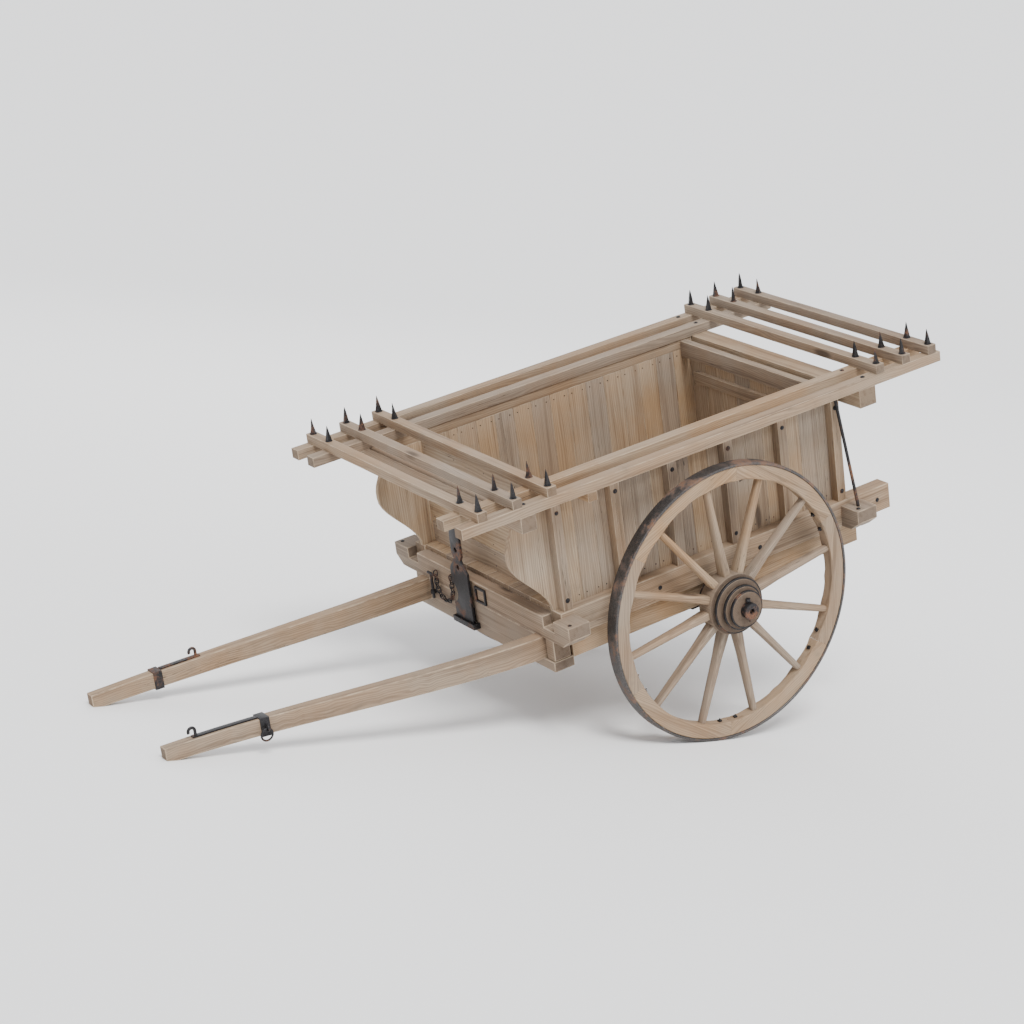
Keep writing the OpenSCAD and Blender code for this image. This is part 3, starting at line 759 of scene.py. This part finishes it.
def loft(rings: Sequence[Sequence[Vector]], closed: bool = False) -> Part:
    """Skins a row of outlines that have the same number of points.

    Args:
        rings: The outlines, in order.
        closed: Whether the last joins the first; otherwise both ends are capped.

    Returns:
        The closed solid.
    """
    part = bmesh.new()
    rows = [[part.verts.new(point) for point in ring] for ring in rings]
    count = len(rows[0])
    for first, second in zip(rows, rows[1:] + rows[:1] if closed else rows[1:]):
        for k in range(count):
            part.faces.new((first[k], first[(k + 1) % count], second[(k + 1) % count], second[k]))
    if not closed:
        part.faces.new(rows[0][::-1])
        part.faces.new(rows[-1])
    bmesh.ops.recalc_face_normals(part, faces=part.faces)
    return part


def lathe(profile: Profile, steps: int) -> Part:
    """Turns a closed outline of radius and place about Y.

    Args:
        profile: Pairs of radius and place along Y, none on the axis.
        steps: The number of stations round the axis.

    Returns:
        The turned ring.
    """
    rings = []
    for k in range(steps):
        turn = 2 * math.pi * k / steps
        rings.append([Vector((r * math.cos(turn), y, r * math.sin(turn))) for r, y in profile])
    return loft(rings, closed=True)


def dome(radius: float, height: float, sides: int) -> Part:
    """Makes a low round head that stands on Z = 0.

    Args:
        radius: The head's radius.
        height: The head's height.
        sides: The number of its sides.

    Returns:
        The head.
    """
    quarter = math.pi / 2
    rings = []
    for share in (0.0, 0.45, 0.8, 1.0):
        reach = radius * math.cos(share * quarter * 0.82)
        turns = [k * 2 * math.pi / sides for k in range(sides)]
        rise = height * math.sin(share * quarter)
        rings.append([Vector((reach * math.cos(turn), reach * math.sin(turn), rise)) for turn in turns])
    return loft(rings)


def upright(profile: Profile, steps: int) -> Part:
    """Turns a closed outline of radius and height about Z.

    Args:
        profile: Pairs of radius and height, none on the axis.
        steps: The number of stations round the axis.

    Returns:
        The turned ring.
    """
    part = lathe(profile, steps)
    part.transform(Matrix.Rotation(math.pi / 2, 4, "X"))
    return part


def as_pattern(name: str, parts: Sequence[Part]) -> bpy.types.Mesh:
    """Puts solids into one mesh that a repeater can set, and frees them.

    Args:
        name: The mesh's name.
        parts: The solids.

    Returns:
        The joined mesh.
    """
    whole = bmesh.new()
    mesh = bpy.data.meshes.new(name)
    for part in parts:
        part.to_mesh(mesh)
        whole.from_mesh(mesh)
        part.free()
    whole.to_mesh(mesh)
    whole.free()
    return mesh


# ---- fastenings


def standing(point: Vector, normal: Vector, spin: float = 0.0) -> Matrix:
    """Gives the place of a pattern whose Z stands along a normal.

    Args:
        point: Where its foot is.
        normal: The way it stands.
        spin: Its turn about the normal.

    Returns:
        The place.
    """
    turn = normal.to_track_quat("Z", "Y").to_matrix().to_4x4()
    return Matrix.Translation(point) @ turn @ Matrix.Rotation(spin, 4, "Z")


@dataclass
class Fastenings:
    """Nail heads, coach bolts and load spikes: the patterns, and where each body needs them."""

    shop: Shop
    nail_r: float = 3.6 * MM
    nail_h: float = 1.6 * MM
    bolt_r: float = 7.5 * MM
    bolt_h: float = 4.5 * MM
    washer_r: float = 11.5 * MM
    washer_t: float = 1.8 * MM
    core: float = 1.0 * MM
    inset: float = 0.03
    turn: float = 0.25
    spread: float = 0.1
    foot_r: float = 19 * MM
    foot_t: float = 2.8 * MM
    spike_lean: float = 0.04
    spike_edge: float = 1.0 * MM

    def nail(self) -> bpy.types.Mesh:
        """Makes a hand-made rose head with six facets."""
        return as_pattern("nail_pattern", [dome(self.nail_r, self.nail_h, 6)])

    def bolt(self) -> bpy.types.Mesh:
        """Makes a domed bolt head on a round washer.

        Returns:
            The pattern.
        """
        core, reach, thick = self.core, self.washer_r, self.washer_t
        profile = ((core, 0.0), (reach, 0.0), (reach, thick * 0.6), (reach * 0.94, thick), (core, thick))
        head = dome(self.bolt_r, self.bolt_h, 12)
        head.transform(Matrix.Translation((0, 0, thick)))
        return as_pattern("bolt_pattern", [upright(profile, 14), head])

    def place(self, name: str, pattern: bpy.types.Mesh, spots: Sequence[Spot], body: str, seed: int) -> None:
        """Sets a pattern on spots given in the cart frame.

        Args:
            name: The piece's name.
            pattern: The pattern's mesh.
            spots: Pairs of foot and normal.
            body: The body it moves with.
            seed: The seed of its random turns and sizes.
        """
        draw = random.Random(seed)
        places = [standing(point, normal, draw.uniform(-self.turn, self.turn)) for point, normal in spots]
        self.shop.repeat(name, pattern, places, body, seed, spread=self.spread)

    def tub_nails(self) -> None:
        """Nails the planks, the headboard and the floor."""
        boxes, inset = self.shop.cart.boxes, self.inset
        nails: list[Spot] = []
        for side, hand in SIDES:
            for low, high in boxes(f"side_planks_{hand}"):
                face, back = (high.y, low.y) if side > 0 else (low.y, high.y)
                middle = (low.x + high.x) / 2
                for reach in (-0.3, 0.3):
                    x = middle + reach * (high.x - low.x)
                    for z in (low.z + inset, high.z - inset):
                        nails.append((Vector((x, face, z)), Y * side))
                        nails.append((Vector((x, back, z)), Y * -side))
        for low, high in boxes("headboard"):
            for y in np.linspace(low.y + inset, high.y - inset, 5):
                nails += [(Vector((low.x, y, z)), -X) for z in (low.z + 25 * MM, high.z - 25 * MM)]
        for low, high in boxes("floor_boards"):
            for x in (low.x + 0.1, -0.3, 0.3, high.x - inset):
                for reach in (0.2, 0.8):
                    nails.append((Vector((x, low.y + reach * (high.y - low.y), high.z)), Z))
        self.place("tub_nails", self.nail(), nails, "tub", 11)

    def tub_bolts(self) -> None:
        """Bolts the posts, the beams and the upper sills."""
        cart, inset = self.shop.cart, self.inset
        bolts: list[Spot] = []
        for side, hand in SIDES:
            for low, high in cart.boxes(f"side_posts_{hand}"):
                face = high.y if side > 0 else low.y
                for z in (low.z + 0.05, high.z - 0.05):
                    bolts.append((Vector(((low.x + high.x) / 2, face, z)), Y * side))
        for node in ("front_beam", "rear_beam"):
            low, high = cart.span(node)
            x = (low.x + high.x) / 2 - inset
            bolts += [(Vector((x, side * (high.y - inset), high.z)), Z) for side in (-1, 1)]
        for side, hand in SIDES:
            low, high = cart.span(f"upper_sill_{hand}")
            face = high.y if side > 0 else low.y
            for x in (-0.3, 0.3, high.x - 0.08):
                bolts.append((Vector((x, face, (low.z + high.z) / 2)), Y * side))
        self.place("tub_bolts", self.bolt(), bolts, "tub", 12)

    def tailboard(self) -> None:
        """Nails the tailboard to its ledges."""
        boxes = self.shop.cart.boxes
        nails: list[Spot] = []
        for low, high in boxes("tailboard_planks"):
            for ledge_low, ledge_high in boxes("tailboard_ledges"):
                z = (ledge_low.z + ledge_high.z) / 2
                for reach in (0.25, 0.75):
                    nails.append((Vector((high.x, low.y + reach * (high.y - low.y), z)), X))
        self.place("tailboard_nails", self.nail(), nails, "tailboard", 13)

    def top_frame(self) -> None:
        """Bolts the long rails to their bearers."""
        boxes = self.shop.cart.boxes
        bolts: list[Spot] = []
        for low, high in boxes("frame_bearers"):
            for rail in ("outer_rail", "inner_rail"):
                for _, hand in SIDES:
                    rail_low, rail_high = boxes(f"{rail}_{hand}")[0]
                    y = (rail_low.y + rail_high.y) / 2
                    bolts.append((Vector(((low.x + high.x) / 2, y, rail_high.z)), Z))
        self.place("top_frame_bolts", self.bolt(), bolts, "top_frame", 14)

    def spikes(self) -> None:
        """Replaces the load spikes by forged ones, square at the foot, each on a small plate."""
        boxes = self.shop.cart.boxes("slat_spikes")
        low, high = boxes[0]
        tall, half = high.z - low.z, (high.x - low.x) / 2
        corner = math.pi / 2
        rings = []
        outline = ((0, 2.1, 0), (0.08, 2.0, 0), (0.4, 1.35, 0.5), (0.75, 0.72, 1.2), (1, 0.14, 2.0))
        for share, width, lean in outline:
            first = math.pi / 4 + share * 0.7
            reach = half * width * 1.15
            turns = [first + k * corner for k in range(4)]
            rings.append([
                Vector((reach * math.cos(turn) + lean * MM, reach * math.sin(turn), share * tall))
                for turn in turns
            ])
        blade = loft(rings)
        edges = [edge for edge in blade.edges if edge.calc_face_angle(0.0) > 1.0]
        bmesh.ops.bevel(blade, geom=edges, offset=self.spike_edge, segments=1, affect="EDGES",
                        clamp_overlap=True)
        core = 1.5 * MM
        foot = ((core, 0.0), (self.foot_r, 0.0), (self.foot_r - core, 2.5 * MM), (core, self.foot_t))
        pattern = as_pattern("spike_pattern", [blade, upright(foot, 12)])
        draw = random.Random(21)
        most = self.spike_lean
        places = []
        for low, high in boxes:
            spot = Vector(((low.x + high.x) / 2, (low.y + high.y) / 2, low.z))
            lean = Vector((draw.uniform(-most, most), draw.uniform(-most, most), 1)).normalized()
            places.append(standing(spot, lean, draw.uniform(0, math.pi)))
        self.shop.repeat("slat_spikes_piece", pattern, places, "top_frame", 21, spread=0.03,
                         nodes=["slat_spikes"])

    def build(self) -> None:
        """Sets every fastening."""
        for step in (self.tub_nails, self.tub_bolts, self.tailboard, self.top_frame, self.spikes):
            step()


# ---- sub-assemblies


@dataclass
class Wheel:
    """One wheel: turned nave, hoops, box, spokes, felloes, tyre and tyre bolts."""

    shop: Shop
    side: str
    spoke_count: int = 12
    felloe_steps: int = 20
    felloe_deep: float = 70 * MM
    joint_gap: float = 0.25 * MM
    chamfer: float = 7 * MM
    least_chamfer: float = 1.5 * MM
    sole: float = 1.0 * MM
    sole_edge: float = 2 * MM
    nut: float = 17 * MM
    bolt_aside: float = 4.5
    shank_r: float = 3.2 * MM
    nave_bore: float = 38 * MM
    bead: float = 5 * MM
    crown: float = 0.6 * MM
    hoop_t: float = 5.8 * MM
    hoop_edge: float = 1.6 * MM
    box_bore: float = 26.1 * MM
    box_edge: float = 1.2 * MM
    spoke_foot: tuple[float, float] = (31 * MM, 20 * MM)
    spoke_tip: tuple[float, float] = (20 * MM, 16 * MM)
    tyre_edge: float = 3.5 * MM
    turned_steps: int = 64
    tyre_steps: int = 144

    def __post_init__(self) -> None:
        """Reads the wheel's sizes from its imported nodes."""
        span = self.shop.cart.span
        self.sign = {hand: side for side, hand in SIDES}[self.side]
        self.body = f"wheel_{self.side}"
        low, high = span(f"tyre_{self.side}")
        self.rim_y = (low.y + high.y) / 2
        self.tyre_w = high.y - low.y
        self.tyre_r = (high.z - low.z) / 2
        low, high = span(f"nave_{self.side}")
        self.nave_r = (high.z - low.z) / 2
        self.inner = abs(self.rim_y - (low.y if self.sign > 0 else high.y))
        self.outer = abs((high.y if self.sign > 0 else low.y) - self.rim_y)
        low, high = span(f"felloes_{self.side}")
        self.rim_r = (high.z - low.z) / 2
        self.felloe_w = high.y - low.y
        self.felloe_r = self.rim_r - self.felloe_deep
        low, high = self.shop.cart.boxes(f"spokes_{self.side}")[0]
        middle = (low + high) / 2
        self.turn = math.atan2(middle.z, middle.x)

    def finish(self, batch: Batch, name: str) -> None:
        """Adds a batch made in the wheel's own frame, with Y outwards, for the node of its name.

        Args:
            batch: The solids.
            name: The node's name without its side.
        """
        cart, node = self.shop.cart, f"{name}_{self.side}"
        mirror = Matrix.Scale(self.sign, 4, Y)
        mesh = batch.mesh(f"{node}_mesh", cart.to_world @ Matrix.Translation((0, self.rim_y, 0)) @ mirror)
        if self.sign < 0:
            mesh.flip_normals()
        self.shop.put(f"{node}_piece", mesh, Slot(cart.slots[node]), self.body, [node])

    def turned(self, name: str, profiles: Sequence[Profile], steps: int) -> None:
        """Turns rings about the axle and adds them.

        Args:
            name: The node's name without its side.
            profiles: The outline of each ring.
            steps: The number of stations round the axle.
        """
        batch = Batch()
        for number, profile in enumerate(profiles):
            part = lathe(profile, steps)
            batch.add(part, 1, seed_for(f"{name}_{self.side}", number))
            part.free()
        self.finish(batch, name)

    def nave(self) -> None:
        """Turns the nave: a barrel for the spokes, stepped down on both sides, with beads at the steps."""
        r, bead = self.nave_r, self.bead
        steps = [(-self.inner, r - 58 * MM), (-self.inner + 35 * MM, r - 32 * MM), (-45 * MM, r),
                 (45 * MM, r - 18 * MM), (75 * MM, r - 46 * MM), (self.outer - 30 * MM, r - 64 * MM)]
        profile = [(self.nave_bore, -self.inner)]
        ends = [start for start, _ in steps[1:]] + [self.outer]
        for (start, radius), end in zip(steps, ends):
            profile += [(radius - bead / 2, start), (radius, start + bead),
                        (radius - self.crown, start + (end - start) * 0.5),
                        (radius, end - bead), (radius - bead / 2, end)]
        profile.append((self.nave_bore, self.outer))
        self.turned("nave", [profile], self.turned_steps)

    def hoops(self) -> None:
        """Shrinks the hoops onto the nave, with worn edges."""
        edge = self.hoop_edge
        rings = []
        for low, high in self.shop.cart.boxes(f"nave_hoops_{self.side}"):
            outer = (high.z - low.z) / 2
            inner = outer - self.hoop_t
            near, far = sorted(((low.y - self.rim_y) * self.sign, (high.y - self.rim_y) * self.sign))
            rings.append(((inner, near), (outer - edge, near), (outer, near + edge),
                          (outer, far - edge), (outer - edge, far), (inner, far)))
        self.turned("nave_hoops", rings, self.turned_steps)

    def box(self) -> None:
        """Casts the iron box that runs on the arm."""
        low, high = self.shop.cart.boxes(f"axle_box_{self.side}")[0]
        outer, inner, edge = (high.z - low.z) / 2, self.box_bore, self.box_edge
        profile = ((inner + edge, -self.inner), (outer, -self.inner), (outer, self.outer),
                   (inner + edge, self.outer), (inner, self.outer - edge), (inner, -self.inner + edge))
        self.turned("axle_box", [profile], 48)

    def spokes(self) -> None:
        """Sets the spokes: square at the nave, swelling to a chest, then shaved oval to the felloe."""
        start, end = self.nave_r - 4 * MM, self.felloe_r + 3 * MM
        sides = 20
        rings = []
        for share in (0, 0.03, 0.08, 0.16, 0.28, 0.45, 0.65, 0.85, 0.96, 1.0):
            wide, thick = (foot + (tip - foot) * share for foot, tip in zip(self.spoke_foot, self.spoke_tip))
            power = 6.0 - 3.4 * min(1.0, max(0.0, (share - 0.03) / 0.2))
            ring = []
            for k in range(sides):
                angle = 2 * math.pi * (k + 0.5) / sides
                c, s = math.cos(angle), math.sin(angle)
                ring.append(Vector((
                    start + (end - start) * share,
                    wide * math.copysign(abs(c) ** (2 / power), c),
                    thick * math.copysign(abs(s) ** (2 / power), s),
                )))
            rings.append(ring)
        part = loft(rings)
        batch = Batch()
        batch.add(part, 0, 0.5)
        part.free()
        pattern = batch.mesh("spoke_pattern", Matrix.Identity(4))
        pattern.attributes.remove(pattern.attributes["board"])
        hub = Matrix.Translation((0, self.rim_y, 0))
        places = [
            hub @ Matrix.Rotation(-(self.turn + k * 2 * math.pi / self.spoke_count), 4, "Y")
            for k in range(self.spoke_count)
        ]
        name = f"spokes_{self.side}"
        seed = 31 if self.sign < 0 else 32
        self.shop.repeat(f"{name}_piece", pattern, places, self.body, seed, Slot.FRAME, nodes=[name])

    def felloes(self) -> None:
        """Saws the felloes, each chamfered between its spokes and left square at spokes and joints."""
        count = self.spoke_count // 2
        span = 2 * math.pi / count
        gap = self.joint_gap / self.felloe_r
        half, edge = self.felloe_w / 2, self.sole_edge
        low, top = self.felloe_r, self.rim_r - self.sole
        batch = Batch()
        for number in range(count):
            first = self.turn + (number * 2 + 0.5) * span / 2
            rings = []
            for k in range(self.felloe_steps + 1):
                share = k / self.felloe_steps
                angle = first + gap + (span - 2 * gap) * share
                from_spoke = abs(((share * 2) % 1.0) - 0.5) * 2
                depth = max(0.0, min(1.0, (from_spoke - 0.2) / 0.25, (0.94 - from_spoke) / 0.12))
                cut = max(self.chamfer * depth, self.least_chamfer)
                section = ((low, -half + cut), (low + cut, -half), (top - edge, -half), (top, -half + edge),
                           (top, half - edge), (top - edge, half), (low + cut, half), (low, half - cut))
                rings.append([Vector((r * math.cos(angle), y, r * math.sin(angle))) for r, y in section])
            part = loft(rings)
            level = Matrix.Rotation(first + span / 2 - math.pi / 2, 4, "Y")
            part.transform(level)
            start = len(batch.points)
            batch.add(part, 0, seed_for(f"felloe_{self.side}", number))
            batch.points[start:] = [level.inverted() @ point for point in batch.points[start:]]
            part.free()
        self.finish(batch, "felloes")

    def tyre(self) -> None:
        """Rolls the tyre, rounded at its edges and crowned by the road."""
        edge, half, r = self.tyre_edge, self.tyre_w / 2, self.tyre_r
        inner = self.rim_r + 0.1 * MM
        one_side = [(inner, -half + edge / 2), (inner + edge / 2, -half), (r - edge, -half),
                    (r - edge * 0.4, -half + edge * 0.4), (r - 0.6 * MM, -half + edge * 1.4),
                    (r, -half * 0.4)]
        other_side = [(radius, -y) for radius, y in reversed(one_side)]
        self.turned("tyre", [one_side + other_side], self.tyre_steps)

    def tyre_bolts(self) -> None:
        """Puts square nuts on the tyre bolts, inside the felloes and beside their joints."""
        half, thick = self.nut / 2, self.nut * 0.55
        corners = ((-1, -1), (1, -1), (1, 1), (-1, 1))
        rings = [
            [Vector((half * share * a, half * share * b, height * thick)) for a, b in corners]
            for share, height in ((1.0, 0.0), (1.0, 0.8), (0.9, 1.0))
        ]
        core, r = 0.5 * MM, self.shank_r
        shank = ((core, 0.0), (r, 0.0), (r, thick * 1.5), (r * 0.75, thick * 1.8), (core, thick * 1.8))
        pattern = as_pattern("nut_pattern", [loft(rings), upright(shank, 10)])
        places = []
        count = self.spoke_count // 2
        for number in range(count):
            joint = self.turn + (number * 2 + 0.5) * math.pi / count
            for aside in (-self.bolt_aside, self.bolt_aside):
                angle = joint + math.radians(aside)
                inward = Vector((-math.cos(angle), 0, -math.sin(angle)))
                spot = inward * -self.felloe_r + Y * self.rim_y
                places.append(standing(spot, inward, aside))
        self.shop.repeat(f"tyre_bolts_{self.side}_piece", pattern, places, self.body, 33)

    def build(self) -> None:
        """Builds the whole wheel."""
        for step in (self.nave, self.hoops, self.box, self.spokes, self.felloes, self.tyre, self.tyre_bolts):
            step()


@dataclass
class Chain:
    """The pin chain, of welded oval links."""

    shop: Shop
    wire: float = 3.0 * MM
    half_length: float = 16.5 * MM
    half_width: float = 10.5 * MM
    bends: int = 20
    sides: int = 8

    def link(self) -> bpy.types.Mesh:
        """Bends one link in the XY plane, long along X.

        Returns:
            The pattern.
        """
        straight = self.half_length - self.half_width
        rings = []
        for k in range(self.bends):
            angle = 2 * math.pi * k / self.bends
            across = Vector((math.cos(angle), math.sin(angle), 0))
            middle = across * self.half_width
            if abs(across.x) > 1e-6:
                middle += X * math.copysign(straight, across.x)
            rings.append([
                middle + (across * math.cos(turn) + Z * math.sin(turn)) * self.wire
                for turn in (2 * math.pi * j / self.sides for j in range(self.sides))
            ])
        return as_pattern("link_pattern", [loft(rings, closed=True)])

    def build(self) -> None:
        """Lays a link where each solid link lies, long along the chain."""
        spots = []
        for part in self.shop.cart.solids("pin_chain"):
            points = np.array([vert.co for vert in part.verts])
            middle = points.mean(axis=0)
            _, _, axes = np.linalg.svd(points - middle, full_matrices=False)
            spots.append((Vector(middle), Vector(axes[2])))
            part.free()
        top = max(spots, key=lambda spot: spot[0].z - spot[0].y)
        row, rest = [top], [spot for spot in spots if spot is not top]
        while rest:
            nearest = min(rest, key=lambda spot: (spot[0] - row[-1][0]).length)
            row.append(nearest)
            rest.remove(nearest)
        places = []
        for number, (middle, normal) in enumerate(row):
            before, after = row[max(0, number - 1)][0], row[min(len(row) - 1, number + 1)][0]
            along = (after - before).normalized()
            along = (along - normal * along.dot(normal)).normalized()
            turn = Matrix((along, normal.cross(along), normal)).transposed().to_4x4()
            places.append(Matrix.Translation(middle) @ turn)
        self.shop.repeat("pin_chain_piece", self.link(), places, "shaft_frame", 41, nodes=["pin_chain"])


@dataclass
class Joinery:
    """The squared timbers and plain irons, each dressed from its own solid."""

    shop: Shop
    shaft: float = 8.0 * MM
    heavy: float = 4.0 * MM
    light: float = 2.2 * MM
    board: float = 1.5 * MM
    iron: float = 1.2 * MM
    waver: float = 0.8 * MM
    board_waver: float = 0.48 * MM
    shaft_pitch: float = 0.05

    def build(self) -> None:
        """Dresses every node that no other class builds."""
        built = ("nave_", "axle_box", "spokes", "felloes", "tyre", "slat_spikes", "pin_chain")
        heavy = ("crossbar", "upper", "lower", "front_beam", "rear_beam")
        for node in sorted(frame["nodes"]):
            if node.startswith(built):
                continue
            slot = Slot(self.shop.cart.slots[node])
            if slot is Slot.IRON:
                self.shop.dress(node, self.iron, 0.0)
            elif slot is Slot.BOARD:
                self.shop.dress(node, self.board, self.board_waver)
            elif node in ("shaft_left", "shaft_right"):
                self.shop.dress(node, self.shaft, self.waver, self.shaft_pitch, True)
            else:
                self.shop.dress(node, self.heavy if node.startswith(heavy) else self.light, self.waver)


# ---- studio


@dataclass
class Studio:
    """A pale floor, soft light and the camera."""

    station: Triple = (-7.03, -9.93, 3.78)
    azimuth: float = -35.95
    elevation: float = 13.03
    roll: float = 7.2
    lens: float = 92.53
    sensor: float = 36.0
    shift: tuple[float, float] = (-0.024, 0.0)
    floor_r: float = 500.0
    floor_sides: int = 96
    floor_colour: tuple[float, ...] = (0.90, 0.895, 0.88, 1.0)
    floor_rough: float = 0.9
    key_power: float = 3.5
    key_spread: float = 22.0
    key_from: Triple = (-0.30, -0.62, 1.0)
    aim: Triple = (0.0, 0.0, 0.8)
    sky: tuple[float, ...] = (0.93, 0.95, 1.0, 1.0)
    sky_power: float = 1.15

    def camera(self) -> None:
        """Sets the camera at its station, with everything in focus."""
        side, rise, lean = (math.radians(value) for value in (self.azimuth, self.elevation, self.roll))
        back = Vector((math.sin(side) * math.cos(rise), -math.cos(side) * math.cos(rise), math.sin(rise)))
        right = Vector((math.cos(side), math.sin(side), 0))
        up = back.cross(right)
        across = right * math.cos(lean) + up * math.sin(lean)
        above = up * math.cos(lean) - right * math.sin(lean)
        data = bpy.data.cameras.new("camera")
        data.sensor_width = self.sensor
        data.lens = self.lens
        data.shift_x, data.shift_y = self.shift
        data.clip_end = 2.0 * self.floor_r
        camera = stood("camera", data)
        turn = Matrix((across, above, back)).transposed().to_4x4()
        camera.matrix_world = Matrix.Translation(self.station) @ turn
        bpy.context.scene.camera = camera

    def floor(self) -> None:
        """Lays a round floor so wide that its edge is never seen from above."""
        turns = [2 * math.pi * k / self.floor_sides for k in range(self.floor_sides)]
        rim = [(self.floor_r * math.cos(turn), self.floor_r * math.sin(turn), 0.0) for turn in turns]
        mesh = bpy.data.meshes.new("floor")
        mesh.from_pydata(rim, [], [range(self.floor_sides)])
        material = bpy.data.materials.new("floor_paper")
        material.use_nodes = True
        surface = material.node_tree.nodes["Principled BSDF"].inputs
        surface["Base Color"].default_value = self.floor_colour
        surface["Roughness"].default_value = self.floor_rough
        mesh.materials.append(material)
        stood("floor", mesh)

    def light(self, name: str, kind: str, power: float, way: Vector, sizes: dict[str, float]) -> Any:
        """Hangs one light.

        Args:
            name: The light's name.
            kind: The light's type.
            power: Its power, in watts for an area light.
            way: The way that it comes from.
            sizes: Its other settings.

        Returns:
            The light.
        """
        data = bpy.data.lights.new(name, kind)
        data.energy = power
        for key, value in sizes.items():
            setattr(data, key, value)
        lamp = stood(name, data)
        lamp.rotation_euler = way.to_track_quat("Z", "Y").to_euler()
        return lamp

    def build(self) -> None:
        """Sets up floor, lights, surroundings and camera."""
        self.floor()
        spread = math.radians(self.key_spread)
        self.light("key", "SUN", self.key_power, Vector(self.key_from), {"angle": spread})
        for name, place, size, power in (("fill", (7.0, -7.0, 4.0), 6.0, 120.0),
                                         ("rim", (3.0, 8.0, 6.0), 5.0, 200.0)):
            lamp = self.light(name, "AREA", power, Vector(place) - Vector(self.aim), {"size": size})
            lamp.location = place
        world = bpy.data.worlds.new("surroundings")
        world.use_nodes = True
        background = world.node_tree.nodes["Background"].inputs
        background["Color"].default_value = self.sky
        background["Strength"].default_value = self.sky_power
        bpy.context.scene.world = world
        self.camera()


def main() -> None:
    """Builds the cart and its studio."""
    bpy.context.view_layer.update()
    noise.seed_set(WAVER_SEED)
    cart = Cart(frame["record"])
    finishes = Finishes()
    finishes.prepare()
    shop = Shop(cart, finishes)
    Studio().build()
    Joinery(shop).build()
    for _, side in SIDES:
        Wheel(shop, side).build()
    Chain(shop).build()
    Fastenings(shop).build()


if __name__ == "__main__":
    main()
